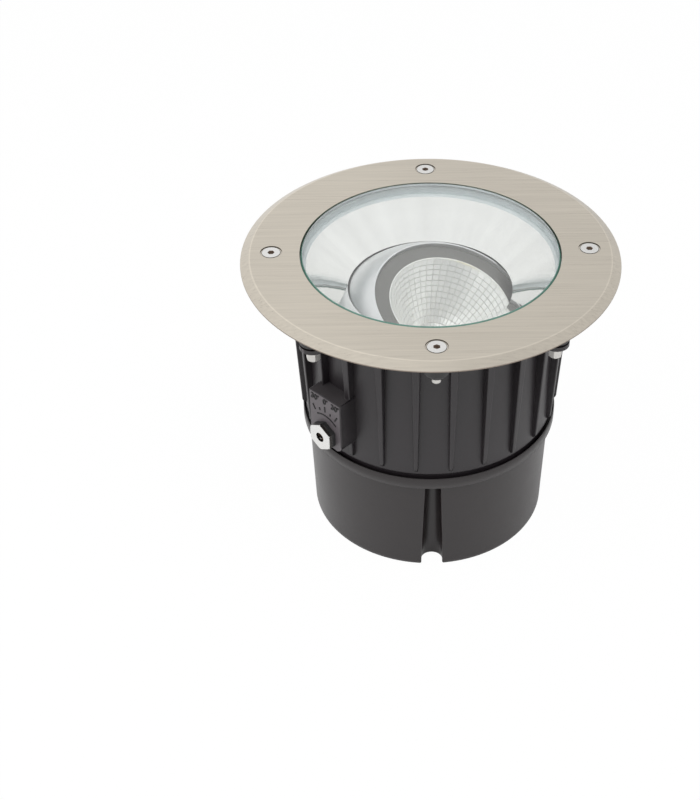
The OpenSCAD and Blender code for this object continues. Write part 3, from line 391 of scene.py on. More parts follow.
def rim_shade_finish(f, c):
    """Upright edge of the ring, turned and dull, with a dark colour that is painted shade."""
    turned = f.noise(900.0, 3.0)
    return f.set(
        base=f.tones(turned, c.rim, 0.8, 1.2),
        metallic=0.8, roughness=turned * 0.2 + 0.35,
    )


def countersink_shade_finish(f, c):
    """Rough cut metal, dark as painted shade in the gap round each screw head."""
    grit = f.noise(800.0, 3.0)
    return f.set(
        base=f.tones(grit, c.countersink, 0.6, 1.4),
        metallic=0.4, roughness=grit * 0.2 + 0.5, specular=0.2,
    )


def steel_finish(f, c):
    """Bright turned steel with faint tool marks."""
    turned = f.noise(700.0, 3.0, 0.6)
    return f.set(
        base=f.tones(turned, c.steel, 0.9, 1.08),
        metallic=1.0,
        roughness=turned * 0.16 + 0.16,
        normal=f.bump(turned, 0.12, 0.0001),
    )


def glass_parts(f, tint):
    """Clear to shadow and diffuse rays, so that light reaches what lies under the glass."""
    clear = f.node("ShaderNodeBsdfTransparent", None, {"Color": tint})
    passes = f.ray("Shadow") + f.ray("Diffuse")
    f.feed(f.output.inputs["Surface"], f.mix(passes, Wire(f, f.surface.outputs[0]), clear))


def glass_finish(f, c):
    """Clear glass with a faint haze."""
    haze = f.noise(60.0, 3.0)
    f.set(base=shade(c.glass, 1.0), transmission=1.0, ior=1.5, roughness=haze * 0.01)
    glass_parts(f, shade(c.glass_pass, 1.0))
    return f.material


def glass_rim_finish(f, c):
    """Ground rim of the glass, over the pale gasket behind it."""
    grit = f.noise(300.0, 3.0)
    return f.set(
        base=f.tones(grit, c.silicone, 0.95, 1.15),
        roughness=grit * 0.2 + 0.4, specular=0.4,
    )


def socket_shade_finish(f, c):
    """Dark brown-grey metal down in the sockets, darker than the screw steel as painted shade in the hollow."""
    grit = f.noise(1500.0, 3.0)
    return f.set(
        base=f.tones(grit, c.socket, 0.6, 1.5),
        metallic=0.6, roughness=grit * 0.2 + 0.4, specular=0.2,
    )


def glass_edge_finish(f, c):
    """Ground edge of the glass, green because it is seen end on."""
    grit = f.noise(900.0, 3.0)
    return f.set(
        base=f.tones(grit, c.glass_edge, 0.8, 1.3),
        roughness=grit * 0.2 + 0.15, specular=0.7,
    )


def silicone_finish(f, c):
    """Smooth grey-blue silicone."""
    cloud = f.noise(120.0, 3.0)
    return f.set(
        base=f.tones(cloud, c.silicone, 0.92, 1.08),
        roughness=cloud * 0.15 + 0.32, normal=f.bump(cloud, 0.1, 0.0003), specular=0.5,
    )


def mirror_finish(f, c):
    """Spun and polished sheet: rings of faint spinning marks, a light haze, and soft bands round the axis that are
    painted reflections.
    """
    spun = f.noise(1.0, 3.0, 0.6, stretch=(25, 25, 2600))
    haze = f.noise(35.0, 3.0)
    angle = f.node("ShaderNodeTexGradient", {"gradient_type": "RADIAL"}, {"Vector": f.place()}, out=1)
    # Soft bands by angle round the axis: painted reflections of the surroundings
    reflection_bands = f.node("ShaderNodeTexNoise", {"noise_dimensions": "1D"}, {"W": angle * 6, "Detail": 1.0})
    return f.set(
        base=f.tones(haze * 0.4 + reflection_bands * 1.4 - 0.4, c.mirror, 0.9, 0.99),
        metallic=1.0,
        roughness=haze * 0.02 + spun * 0.02 + 0.02,
        normal=f.bump(spun, 0.02, 0.0001, f.bump(haze, 0.06, 0.002)),
    )


def facet_finish(f, c):
    """Vaporised mirror on the moulded facets, its tone lifted over the mirror colour as painted light for the dim
    bowl.
    """
    haze = f.noise(160.0, 3.0)
    return f.set(
        base=f.tones(haze, c.mirror, 1.1, 1.15),
        metallic=haze * 0.05 + 0.3, roughness=haze * 0.06 + 0.14, specular=0.7,
    )


def facet_line_shade_finish(level):
    """Slopes between the facets, seen as a fine grid: darker than the facets, as painted shade in the grooves."""
    def build(f, c):
        haze = f.noise(160.0, 3.0)
        return f.set(
            base=f.tones(haze, c.mirror, level, level * 1.3),
            metallic=0.4, roughness=haze * 0.1 + 0.35, specular=0.3,
        )
    return build


def lamp_finish(f, c):
    """Matt silver anodising."""
    fine = f.noise(1500.0, 3.0)
    cloud = f.noise(25.0, 2.0)
    return f.set(
        base=f.tones(cloud, c.lamp, 0.93, 1.05),
        metallic=1.0, roughness=cloud * 0.1 + fine * 0.08 + 0.26, normal=f.bump(fine, 0.08, 0.0001),
    )


def bezel_finish(f, c):
    """Matt grey paint with a very fine grain."""
    fine = f.noise(1300.0, 3.0)
    cloud = f.noise(30.0, 2.0)
    return f.set(
        base=f.tones(cloud, c.bezel, 0.94, 1.06),
        metallic=0.35, roughness=fine * 0.1 + 0.38, normal=f.bump(fine, 0.1, 0.0001),
    )


def coat_finish(tone, low=0.34, peel=0.35):
    """Satin powder coat: fine orange peel over a slightly uneven casting."""
    def build(f, c):
        base = getattr(c, tone)
        peel_height = f.noise(1250.0, 3.0, 0.55)
        cast = f.noise(55.0, 3.0, 0.5)
        cloud = f.noise(16.0, 3.0, 0.55)
        return f.set(
            base=f.tones(cloud * 0.6 + cast * 0.4, base, 0.82, 1.2),
            roughness=cloud * 0.12 + peel_height * 0.12 + low,
            normal=f.bump(peel_height, peel, 0.00022, f.bump(cast, 0.12, 0.0012)),
            specular=0.5,
        )
    return build


def plastic_finish(tone, low=0.38):
    """Moulded plastic with a spark-eroded grain."""
    def build(f, c):
        base = getattr(c, tone)
        grain = f.noise(1600.0, 2.0)
        cloud = f.noise(20.0, 3.0)
        return f.set(
            base=f.tones(cloud, base, 0.9, 1.1),
            roughness=grain * 0.14 + low, normal=f.bump(grain, 0.22, 0.00015),
        )
    return build


def bare_metal_finish(tone, low=0.3):
    """Rolled or extruded metal with long faint drawing lines."""
    def build(f, c):
        base = getattr(c, tone)
        drawn = f.noise(1.0, 3.0, 0.6, stretch=(40, 1400, 1400))
        return f.set(
            base=f.tones(drawn, base, 0.88, 1.06),
            metallic=1.0, roughness=drawn * 0.16 + low, normal=f.bump(drawn, 0.1, 0.0001),
        )
    return build


def emitter_finish(f, c):
    """Yellow silicone over the diodes, which show as a faint grid."""
    dots = f.node("ShaderNodeTexVoronoi", None, {"Vector": f.place(), "Scale": 700.0})
    return f.set(
        base=f.tones(dots, c.emitter, 0.85, 1.1),
        roughness=dots * 0.1 + 0.25, normal=f.bump(dots, 0.2, 0.0002),
    )


FINISHES = {
    "brushed_ring": brushed_finish(1.0),
    # ring_line: the brushing made lighter, as a painted highlight along the line where the slope starts
    "ring_line": brushed_finish(1.17),
    "ring_rim": rim_shade_finish,
    "countersink": countersink_shade_finish,
    "bright_steel": steel_finish,
    "dull_steel": bare_metal_finish("dull_steel", 0.26),
    "clear_glass": glass_finish,
    "glass_edge": glass_edge_finish,
    "glass_rim": glass_rim_finish,
    "socket": socket_shade_finish,
    "silicone": silicone_finish,
    "black_casting": coat_finish("black", 0.36),
    "charcoal_casting": coat_finish("housing", 0.28),
    # The block's face and top are lit copies of the housing coat, as painted light
    "block_face": coat_finish("block", 0.34, 0.2),
    "block_top": coat_finish("block_top", 0.34, 0.2),
    "nut_side": bare_metal_finish("nut_side", 0.3),
    "scale_black": coat_finish("scale", 0.5, 0.2),
    "base_casting": coat_finish("base", 0.22, 0.2),
    "mirror_sheet": mirror_finish,
    "lamp_silver": lamp_finish,
    "bezel_grey": bezel_finish,
    # facet_mirror: the mirror tone lifted, as painted light inside the bowl
    "facet_mirror": facet_finish,
    # Row slopes get deeper painted shade than side slopes
    "facet_row_line": facet_line_shade_finish(0.58),
    "facet_side_line": facet_line_shade_finish(0.78),
    "bare_aluminium": bare_metal_finish("aluminium"),
    "dark_spindle": bare_metal_finish("spindle", 0.34),
    "bush_plastic": plastic_finish("bush"),
    "board_white": plastic_finish("white"),
    "emitter_yellow": emitter_finish,
    "driver_case": plastic_finish("white", 0.42),
    "gland_plastic": plastic_finish("gland"),
    "black_rubber": plastic_finish("rubber", 0.5),
}


def finish(name):
    """The material of that name, built the first time that it is asked for."""
    found = bpy.data.materials.get("finish_" + name)
    return found or FINISHES[name](Finish("finish_" + name), bpy.context.scene.well_colours)


# Modelling


def only(piece):
    """Selects one object and nothing else."""
    if bpy.context.object and bpy.context.object.mode != "OBJECT":
        bpy.ops.object.mode_set(mode="OBJECT")
    bpy.ops.object.select_all(action="DESELECT")
    piece.select_set(True)
    bpy.context.view_layer.objects.active = piece


def added(name):
    """Names what a primitive operator has just added, and leaves it the only one selected."""
    piece = bpy.context.object
    piece.name = piece.data.name = name
    only(piece)
    return piece


def fresh(name, add, **settings):
    """Adds a primitive with nothing else selected, and names it."""
    bpy.ops.object.select_all(action="DESELECT")
    add(**settings)
    return added(name)


def settle():
    """Moves the active piece's place, turn and scale into its mesh."""
    bpy.ops.object.transform_apply(location=True, rotation=True, scale=True)


def edit(piece):
    """Goes into edit mode with every vertex selected."""
    only(piece)
    bpy.ops.object.mode_set(mode="EDIT")
    bpy.ops.mesh.select_mode(type="VERT")
    bpy.ops.mesh.select_all(action="SELECT")


def leave():
    """Goes back to object mode."""
    bpy.ops.object.mode_set(mode="OBJECT")


def pick(piece, kind, test):
    """In edit mode, selects the faces, edges or verts that pass a test, and nothing else."""
    bpy.ops.mesh.select_mode(type={"faces": "FACE", "edges": "EDGE", "verts": "VERT"}[kind])
    bpy.ops.mesh.select_all(action="DESELECT")
    mesh = bmesh.from_edit_mesh(piece.data)
    mesh.normal_update()
    for part in getattr(mesh, kind):
        if test(part):
            part.select_set(True)
    mesh.select_flush_mode()
    bmesh.update_edit_mesh(piece.data)


def put(piece, place):
    """Moves a piece by a matrix and applies that to its mesh."""
    only(piece)
    piece.matrix_world = place @ piece.matrix_world
    settle()
    return piece


def modify(piece, kind, **settings):
    """Adds a modifier and applies it."""
    only(piece)
    modifier = piece.modifiers.new(kind.title(), kind)
    for key, value in settings.items():
        setattr(modifier, key, value)
    bpy.ops.object.modifier_apply(modifier=modifier.name)
    return piece


def smooth(piece, degrees):
    """Smooths a piece where its faces meet at less than an angle."""
    only(piece)
    bpy.ops.object.shade_smooth_by_angle(angle=math.radians(degrees))
    return piece


def round_edges(piece, width, limit=32.0, shortest=0.0):
    """Rounds the outward edges that are sharp and long enough; plain faces keep their own shading."""
    only(piece)
    bpy.ops.object.shade_smooth()
    solid = bmesh.new()
    solid.from_mesh(piece.data)
    weight = solid.edges.layers.float.new("bevel_weight_edge")
    for line in solid.edges:
        if line.is_manifold and line.calc_face_angle() > math.radians(limit):
            line[weight] = float(line.is_convex and line.calc_length() > shortest)
            line.smooth = line[weight] > 0.5
    solid.to_mesh(piece.data)
    solid.free()
    return modify(piece, "BEVEL", width=width, segments=2, limit_method="WEIGHT",
                  use_clamp_overlap=False, harden_normals=True)


def coated(piece, *names):
    """Gives a piece the slots of several finishes, in the order of their indices."""
    for name in names:
        piece.data.materials.append(finish(name))
    return piece


def dress(piece, finish_name, body, *replaced, slot=None):
    """Gives a finished piece its material, its body and the solids that it stands for."""
    if not piece.data.materials:
        coated(piece, finish_name)
    if replaced:
        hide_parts(*replaced)
    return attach(piece, body)


def copied(node, name):
    """A copy of a solid's mesh, with its loose triangles merged."""
    mesh = frame["nodes"][node].data.copy()
    mesh.name = name
    mesh.materials.clear()
    piece = bpy.data.objects.new(name, mesh)
    bpy.context.scene.collection.objects.link(piece)
    only(piece)
    bpy.ops.mesh.customdata_custom_splitnormals_clear()
    edit(piece)
    bpy.ops.mesh.remove_doubles(threshold=TOUCH)
    leave()
    return piece


def trace(name, points):
    """A line of vertices through (radius, height) points, drawn by extruding one vertex."""
    piece = fresh(name, bpy.ops.mesh.primitive_plane_add, size=MM)
    edit(piece)
    bpy.ops.mesh.merge(type="CENTER")
    r, z = points[0]
    bpy.ops.transform.translate(value=(r, 0, z))
    for (r0, z0), (r1, z1) in zip(points, points[1:]):
        bpy.ops.mesh.extrude_vertices_move(TRANSFORM_OT_translate={"value": (r1 - r0, 0, z1 - z0)})
    leave()
    return piece


def turned(name, points, steps=LATHE_STEPS):
    """A round piece: a profile of (radius, height) points spun about Z."""
    piece = trace(name, points)
    edit(piece)
    bpy.ops.mesh.spin(steps=steps, angle=TURN, center=(0, 0, 0), axis=(0, 0, 1))
    bpy.ops.mesh.select_all(action="SELECT")
    bpy.ops.mesh.remove_doubles(threshold=SEAM)
    bpy.ops.mesh.normals_make_consistent(inside=False)
    leave()
    return piece


def joined(name, pieces):
    """Joins pieces into one."""
    only(pieces[0])
    for piece in pieces[1:]:
        piece.select_set(True)
    bpy.ops.object.join()
    pieces[0].name = pieces[0].data.name = name
    return pieces[0]


# Pieces


def from_screw(at, sizes):
    """Distance of a point from the axis of the nearest ring screw, seen from above."""
    r = sizes.screw_ring_r
    return min(math.dist(at[:2], axis) for axis in ((r, 0), (0, r), (-r, 0), (0, -r)))


class WELL_OT_ring(bpy.types.Operator):
    """Trim ring with straight brushing and softened edges"""

    bl_idname = "well.ring"
    bl_label = "Trim ring"

    def execute(self, context):
        sizes = context.scene.well_sizes
        past_holes = sizes.screw_ring_r + sizes.countersink_r
        ring = copied("trim_ring", "ring_plate")
        edit(ring)
        bpy.ops.mesh.dissolve_limited(angle_limit=FLAT)
        pick(ring, "edges", lambda e: all(
            v.co.z > RING_TOP - TOUCH and v.co.xy.length > past_holes for v in e.verts))
        bpy.ops.mesh.bevel(offset=sizes.ring_line, segments=3, affect="EDGES")
        bpy.ops.mesh.select_mode(type="FACE")
        bpy.ops.mesh.region_to_loop()
        bpy.ops.mesh.mark_sharp()
        leave()
        round_edges(ring, sizes.ring_edge)
        coated(ring, "brushed_ring", "countersink", "ring_rim", "ring_line")
        for face in ring.data.polygons:
            # Countersink faces get the dark painted shade of the gap round the screw heads
            if from_screw(face.center, sizes) < sizes.countersink_r and face.normal.z < LEVEL:
                face.material_index = 1
            # The upright rim gets the painted shade
            elif face.center.xy.length > RING_R - sizes.rim_t and face.normal.z < UPRIGHT:
                face.material_index = 2
            # The narrow strip where the slope starts gets the painted highlight
            elif RING_LINE_TILT[0] < face.normal.z < RING_LINE_TILT[1]:
                face.material_index = 3
        dress(ring, "brushed_ring", "root", "trim_ring")
        return {"FINISHED"}


class WELL_OT_fasteners(bpy.types.Operator):
    """Ring screws and long nuts with softened edges"""

    bl_idname = "well.fasteners"
    bl_label = "Screws and nuts"

    def execute(self, context):
        sizes = context.scene.well_sizes
        head = RING_TOP - sizes.socket_drop
        for node, name in (("ring_screws", "screws_in_ring"), ("frame_nuts", "long_nuts")):
            piece = round_edges(copied(node, name), sizes.screw_edge)
            coated(piece, "bright_steel", "socket", "dull_steel")
            for face in piece.data.polygons:
                z, within = face.center.z, from_screw(face.center, sizes) < sizes.socket_r
                # Parts below the screw heads get the darker steel, as painted shade under the ring
                if z < head - sizes.head_h:
                    face.material_index = 2
                # Faces down in the sockets get the painted shade of the hollow
                elif within and head - sizes.socket_deep < z < head:
                    face.material_index = 1
            dress(piece, "bright_steel", "root", node)
        return {"FINISHED"}


class WELL_OT_glass(bpy.types.Operator):
    """Stepped glass with a ground green edge"""

    bl_idname = "well.glass"
    bl_label = "Glass"

    def execute(self, context):
        sizes = context.scene.well_sizes
        edge_r = sizes.opening_r - sizes.glass_gap
        step = RING_TOP - sizes.step_drop
        arris = sizes.glass_arris
        glass = turned("glass_disc", [
            (0, GLASS_LOW), (GLASS_STEP_R, GLASS_LOW), (GLASS_STEP_R, step), (edge_r, step),
            (edge_r, RING_TOP - arris), (edge_r - sizes.glass_arris_w, RING_TOP), (0, RING_TOP),
        ], GLASS_STEPS)
        coated(smooth(glass, 20), "clear_glass", "glass_edge", "glass_rim")
        for face in glass.data.polygons:
            if abs(face.normal.z) < LEVEL:
                face.material_index = 1 if face.center.z > RING_TOP - arris else 2
        dress(glass, "clear_glass", "root", "glass_lens")
        return {"FINISHED"}


class WELL_OT_housing(bpy.types.Operator):
    """Ribbed housing and clamp frame with rounded casting edges"""

    bl_idname = "well.housing"
    bl_label = "Housing"

    def execute(self, context):
        sizes = context.scene.well_sizes
        housing = round_edges(copied("body_housing", "ribbed_housing"), sizes.casting_edge,
                              shortest=sizes.shortest_edge)
        coated(housing, "charcoal_casting", "block_face", "block_top")
        face_out, top = sizes.face_out - sizes.mark_rise, PIVOT.z + sizes.block_up
        for face in housing.data.polygons:
            # The block's front and top faces take the lighter painted-light copies of the housing coat
            if face.normal.dot(BLOCK_OUT) > FLUSH and face.center.dot(BLOCK_OUT) > face_out:
                face.material_index = 1
            elif face.normal.z > FLUSH and abs(face.center.z - top) < sizes.mark_rise:
                face.material_index = 2
        dress(housing, "charcoal_casting", "root", "body_housing")
        clamp = round_edges(copied("clamp_frame", "ring_frame"), sizes.casting_edge)
        dress(clamp, "black_casting", "root", "clamp_frame")
        return {"FINISHED"}


class WELL_OT_base(bpy.types.Operator):
    """Smooth base with rounded edges"""

    bl_idname = "well.base"
    bl_label = "Base"

    def execute(self, context):
        sizes = context.scene.well_sizes
        base = copied("base_housing", "smooth_base")
        edit(base)
        bpy.ops.mesh.bisect(plane_co=(0, 0, sizes.groove_foot), plane_no=(0, 0, 1))
        leave()
        round_edges(base, sizes.base_edge, limit=50.0, shortest=sizes.shortest_edge)
        dress(base, "base_casting", "root", "base_housing")
        return {"FINISHED"}


class WELL_OT_adjuster(bpy.types.Operator):
    """Gland nut, hexagon seal and spindle of the adjuster"""

    bl_idname = "well.adjuster"
    bl_label = "Adjuster"

    def execute(self, context):
        sizes = context.scene.well_sizes
        nut = round_edges(copied("adjuster_gland_nut", "gland_nut_bright"), sizes.metal_edge)
        coated(nut, "bright_steel", "nut_side")
        # Side-on faces of the nut get the dark painted reflection of the housing
        for face in nut.data.polygons:
            face.material_index = int(abs(face.normal.dot(BLOCK_OUT)) < SIDE_ON)
        dress(nut, "bright_steel", "root", "adjuster_gland_nut")
        seal = round_edges(copied("adjuster_hex_seal", "hex_seal_soft"), sizes.metal_edge)
        dress(seal, "black_rubber", "root", "adjuster_hex_seal")
        spindle = round_edges(copied("adjuster_spindle", "slotted_spindle"), sizes.metal_edge)
        dress(spindle, "dark_spindle", "lamp", "adjuster_spindle")
        return {"FINISHED"}


def tick(name, at, height, width, long, rise, turn=0.0):
    """A raised bar on the block face, with its top and upright edges softened."""
    piece = fresh(name, bpy.ops.mesh.primitive_cube_add, size=1.0)
    piece.scale = (width, long, rise)
    settle()
    edit(piece)
    pick(piece, "edges", lambda e: all(v.co.z > 0 for v in e.verts) or
         abs(e.verts[0].co.z - e.verts[1].co.z) > rise / 2)
    bpy.ops.mesh.bevel(offset=rise * TICK_BEVEL, segments=2, affect="EDGES")
    leave()
    return put(piece, Matrix.Translation((at, height, 0)) @ Matrix.Rotation(turn, 4, "Z"))


def numeral(name, body, at, height, tall, rise):
    """A raised number on the block face."""
    bpy.ops.object.select_all(action="DESELECT")
    bpy.ops.object.text_add()
    text = bpy.context.object
    text.data.body = body
    text.data.size = tall / CAPITAL_SHARE
    text.data.align_x, text.data.align_y = "CENTER", "CENTER"
    text.data.extrude = rise / 2
    text.data.bevel_depth = rise * NUMBER_BEVEL
    text.data.bevel_resolution = 1
    text.data.offset = tall * NUMBER_SWELL
    bpy.ops.object.convert(target="MESH")
    return put(added(name), Matrix.Translation((at, height, 0)))


def ring_mark(name, at, height, r, thick, rise):
    """A small raised ring, for a degree mark."""
    piece = fresh(name, bpy.ops.mesh.primitive_torus_add, major_radius=r, minor_radius=thick / 2,
                  major_segments=20, minor_segments=8)
    piece.scale = (1, 1, rise / thick)
    settle()
    return put(piece, Matrix.Translation((at, height, 0)))


def dot(name, at, height, r, rise):
    """A small raised dome."""
    piece = fresh(name, bpy.ops.mesh.primitive_cylinder_add, vertices=16, radius=r, depth=rise)
    edit(piece)
    pick(piece, "faces", lambda face: face.normal.z > LEVEL)
    bpy.ops.mesh.bevel(offset=r * DOT_BEVEL, segments=2, affect="EDGES")
    leave()
    return put(piece, Matrix.Translation((at, height, 0)))


def arc(name, r, low, high, width, rise, steps=28):
    """A raised arc about the spindle, from one angle to another off the upright."""
    piece = fresh(name, bpy.ops.mesh.primitive_plane_add, size=1.0)
    piece.scale = (width, rise, 1)
    piece.rotation_euler = (TURN / 4, 0, TURN / 4)
    settle()
    piece.location = (0, r, 0)
    settle()
    put(piece, Matrix.Rotation(math.radians(-high), 4, "Z"))
    edit(piece)
    bpy.ops.mesh.spin(steps=steps, angle=math.radians(low - high), center=(0, 0, 0), axis=(0, 0, 1))
    bpy.ops.mesh.select_all(action="SELECT")
    bpy.ops.mesh.normals_make_consistent(inside=False)
    leave()
    return piece


class WELL_OT_tilt_scale(bpy.types.Operator):
    """Raised arc, dot, ticks and numbers of the tilt scale on the block face"""

    bl_idname = "well.tilt_scale"
    bl_label = "Tilt scale"

    def execute(self, context):
        sizes = context.scene.well_sizes
        rise, width, r = sizes.mark_rise, sizes.mark_w, sizes.arc_r
        start = math.radians(ARC_SPAN[0])
        marks = [
            arc("scale_arc", r, *ARC_SPAN, sizes.arc_w, rise),
            dot("scale_dot", r * math.sin(start), r * math.cos(start), sizes.dot_r, rise),
        ]
        for degrees, reach in TICKS:
            a = math.radians(degrees)
            mid, long = (reach * MM + sizes.tick_low) / 2, reach * MM - sizes.tick_low
            marks.append(tick("scale_tick", mid * math.sin(a), mid * math.cos(a), width, long, rise, -a))
        for words, across, up, beside in NUMBERS:
            across, up = across * MM, up * MM
            marks.append(numeral("scale_number", words, across, up, sizes.number_h, rise))
            marks.append(ring_mark("scale_degree", across + beside * MM, up + sizes.degree_up,
                                   sizes.degree_r, sizes.degree_t, rise))
        scale = joined("tilt_scale", marks)
        out = Matrix.Translation((sizes.face_out + rise * MARK_LIFT, 0, 0))
        put(scale, ON_AXIS @ out @ FACE_OUT)
        # The marks are near black, as painted shade of engraved marks
        dress(smooth(scale, 35), "scale_black", "root", slot="charcoal_casting")
        return {"FINISHED"}


class WELL_OT_cone(bpy.types.Operator):
    """Polished cone, with the lip of the glass seal over its rim"""

    bl_idname = "well.cone"
    bl_label = "Cone"

    def execute(self, context):
        cone = copied("cone_reflector", "polished_cone")
        rim = CONE_TOP - context.scene.well_sizes.seal_lip
        edit(cone)
        bpy.ops.mesh.bisect(plane_co=(0, 0, rim), plane_no=(0, 0, 1))
        leave()
        coated(smooth(cone, 35), "mirror_sheet", "silicone")
        for face in cone.data.polygons:
            face.material_index = int(face.center.z > rim)
        dress(cone, "mirror_sheet", "root", "cone_reflector")
        return {"FINISHED"}


class WELL_OT_lamp(bpy.types.Operator):
    """Ball-shaped lamp shell with softened edges"""

    bl_idname = "well.lamp"
    bl_label = "Lamp shell"

    def execute(self, context):
        shell = round_edges(copied("lamp_shell", "ball_shell"), context.scene.well_sizes.shell_edge)
        dress(shell, "lamp_silver", "lamp", "lamp_shell")
        return {"FINISHED"}


class WELL_OT_reflector(bpy.types.Operator):
    """Reflector bowl of pillow-shaped facets"""

    bl_idname = "well.reflector"
    bl_label = "Reflector"

    def execute(self, context):
        s = context.scene.well_sizes
        bowl = fresh("facet_bowl", bpy.ops.mesh.primitive_circle_add, vertices=s.facets_round,
                     radius=s.bowl_neck_r, location=(0, 0, s.bowl_low))
        settle()
        edit(bowl)
        step = (s.bowl_high - s.bowl_low) / s.facet_rings
        before = s.bowl_neck_r
        for i in range(1, s.facet_rings + 1):
            share = i / s.facet_rings
            r = math.sqrt(s.bowl_neck_r ** 2 + share * (s.bowl_rim_r ** 2 - s.bowl_neck_r ** 2))
            bpy.ops.mesh.extrude_region_move(TRANSFORM_OT_translate={"value": (0, 0, step)})
            bpy.ops.transform.resize(value=(r / before, r / before, 1),
                                     center_override=(0, 0, s.bowl_low + i * step))
            before = r
        bpy.ops.mesh.select_all(action="SELECT")
        bpy.ops.mesh.normals_make_consistent(inside=True)
        coated(bowl, "facet_mirror", "facet_row_line", "facet_side_line")
        bpy.ops.mesh.inset(thickness=s.facet_groove, depth=s.facet_rise, use_individual=True)
        leave()
        for slope in list(bowl.data.polygons)[s.facets_round * s.facet_rings:]:
            across = Vector((-slope.center.y, slope.center.x, 0)).normalized()
            # Row and side slopes take their painted shade
            slope.material_index = 2 if abs(slope.normal.dot(across)) > s.side_slope else 1
        modify(bowl, "SOLIDIFY", thickness=s.bowl_wall, offset=-1.0)
        put(smooth(bowl, 50), ON_LAMP)
        dress(bowl, "facet_mirror", "lamp", "lamp_reflector")

        out, low = s.bowl_rim_r - s.lip_w / 8, s.bowl_high
        within, top = out - s.lip_w, low + s.lip_h
        lip = turned("bowl_lip", [(out, low), (out, top), (within, top), (within, low), (out, low)])
        put(smooth(lip, 35), ON_LAMP)
        dress(lip, "facet_mirror", "lamp")
        return {"FINISHED"}


class WELL_OT_cable_entry(bpy.types.Operator):
    """Cable gland at the back of the base"""

    bl_idname = "well.cable_entry"
    bl_label = "Cable entry"

    def execute(self, context):
        sizes = context.scene.well_sizes
        for node, name in (("gland_body", "gland_hexagon"), ("gland_cap", "gland_cap_nut")):
            piece = round_edges(copied(node, name), sizes.casting_edge)
            dress(piece, "gland_plastic", "root", node)
        return {"FINISHED"}


class WELL_OT_other_solids(bpy.types.Operator):
    """Finishes of the solids that are shown as they are"""

    bl_idname = "well.other_solids"
    bl_label = "Other solids"

    def execute(self, context):
        slots = {part["node"]: part["material_slot"] for part in frame["record"]["subparts"]}
        for node, solid in frame["nodes"].items():
            if solid.hide_render:
                continue
            material = finish(slots[node])
            if not solid.material_slots:
                solid.data.materials.append(material)
            for place in solid.material_slots:
                place.material = material
        return {"FINISHED"}


def studio_lamp(name, at, size, power):
    """A soft lamp that looks at the well light, unseen in mirrors and through glass."""
    bpy.ops.object.light_add(type="AREA", location=at)
    lamp = bpy.context.object
    lamp.name = name
    lamp.data.shape = "RECTANGLE"
    lamp.data.size, lamp.data.size_y = size
    lamp.data.energy = power
    lamp.visible_glossy = lamp.visible_transmission = False
    lamp.rotation_euler = (LAMP_AIM - Vector(at)).to_track_quat("-Z", "Y").to_euler()


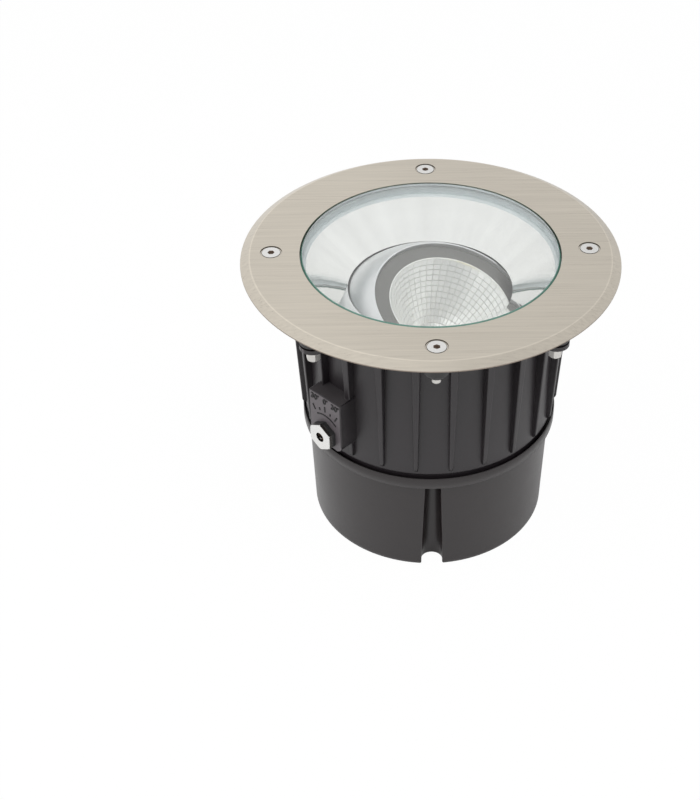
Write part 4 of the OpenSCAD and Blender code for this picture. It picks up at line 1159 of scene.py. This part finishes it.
class WELL_OT_stage(bpy.types.Operator):
    """Floor, world, lamps and camera"""

    bl_idname = "well.stage"
    bl_label = "Stage"

    def execute(self, context):
        stage = context.scene.well_stage
        floor = fresh("studio_floor", bpy.ops.mesh.primitive_plane_add, size=FLOOR_W)
        f = Finish("studio_floor")
        f.set(base=f.tones(f.noise(2.0), stage.floor, 0.99, 1.0), roughness=0.9)
        lit = f.node("ShaderNodeEmission", None, {"Color": (1, 1, 1, 1), "Strength": 1.0})
        side = f.node("ShaderNodeSeparateXYZ", None, {0: f.place()})
        (left, bright), (right, dim) = FLOOR_LEFT, FLOOR_RIGHT
        graded = f.node("ShaderNodeMapRange", None, {
            "Value": side, "From Min": left, "From Max": right, "To Min": bright, "To Max": dim})
        glow = (f.ray("Camera") * FLOOR_SEEN + f.ray("Glossy") * graded +
                f.ray("Transmission") * FLOOR_IN_GLASS)
        f.feed(f.output.inputs["Surface"], f.mix(glow, Wire(f, f.surface.outputs[0]), lit))
        floor.data.materials.append(f.material)

        world = bpy.data.worlds.new("studio_world")
        context.scene.world = world
        world.use_nodes = True
        shop = Shop(world.node_tree)
        soft, low, white = (
            shop.node("ShaderNodeBackground", None, {"Color": (1, 1, 1, 1), "Strength": level})
            for level in (stage.world_level, stage.horizon_level, 1.0))
        way = shop.node("ShaderNodeTexCoord", out="Generated")
        side, height = (shop.node("ShaderNodeSeparateXYZ", None, {0: way}, out=i) for i in (0, 2))
        graded = shop.mix(height - side * WORLD_LEAN, low, white)
        mirrored = shop.mix(shop.ray("Glossy"), soft, graded)
        seen = shop.mix(shop.ray("Camera") + shop.ray("Transmission"), mirrored, white)
        shop.feed(shop.tree.nodes["World Output"].inputs["Surface"], seen)

        for lamp in STUDIO_LAMPS:
            studio_lamp(*lamp)

        bpy.ops.object.camera_add(location=stage.camera_at, rotation=stage.camera_turn)
        camera = bpy.context.object
        camera.name = "photo_camera"
        camera.data.lens = stage.lens_mm
        camera.data.sensor_width = SENSOR_MM
        camera.data.shift_x = stage.shift_x
        camera.data.clip_start, camera.data.clip_end = CLIP
        context.scene.camera = camera
        context.scene.view_settings.view_transform = "Standard"
        return {"FINISHED"}


class WELL_PT_panel(bpy.types.Panel):
    """Lists the steps that dress the light"""

    bl_idname = "WELL_PT_panel"
    bl_label = "Well light"
    bl_space_type = "VIEW_3D"
    bl_region_type = "UI"
    bl_category = "Well light"

    def draw(self, context):
        for step in STEPS:
            self.layout.operator(step.bl_idname, text=step.bl_label)
        for group in (context.scene.well_sizes, context.scene.well_colours, context.scene.well_stage):
            for name in group.bl_rna.properties.keys():
                if name not in ("rna_type", "name"):
                    self.layout.prop(group, name)


STEPS = (
    WELL_OT_ring,
    WELL_OT_fasteners,
    WELL_OT_glass,
    WELL_OT_housing,
    WELL_OT_base,
    WELL_OT_adjuster,
    WELL_OT_tilt_scale,
    WELL_OT_cone,
    WELL_OT_lamp,
    WELL_OT_reflector,
    WELL_OT_cable_entry,
    WELL_OT_other_solids,
    WELL_OT_stage,
)
GROUPS = {"well_sizes": WellLightSizes, "well_colours": WellLightColours, "well_stage": WellLightStage}


def register():
    for made in (*GROUPS.values(), *STEPS, WELL_PT_panel):
        bpy.utils.register_class(made)
    for name, group in GROUPS.items():
        setattr(bpy.types.Scene, name, PointerProperty(type=group))


def unregister():
    for name in GROUPS:
        delattr(bpy.types.Scene, name)
    for made in (WELL_PT_panel, *reversed(STEPS), *GROUPS.values()):
        bpy.utils.unregister_class(made)


def main():
    """Dresses the light."""
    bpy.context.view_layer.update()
    register()
    for step in STEPS:
        group, name = step.bl_idname.split(".")
        getattr(getattr(bpy.ops, group), name)()


if __name__ == "__main__":
    main()
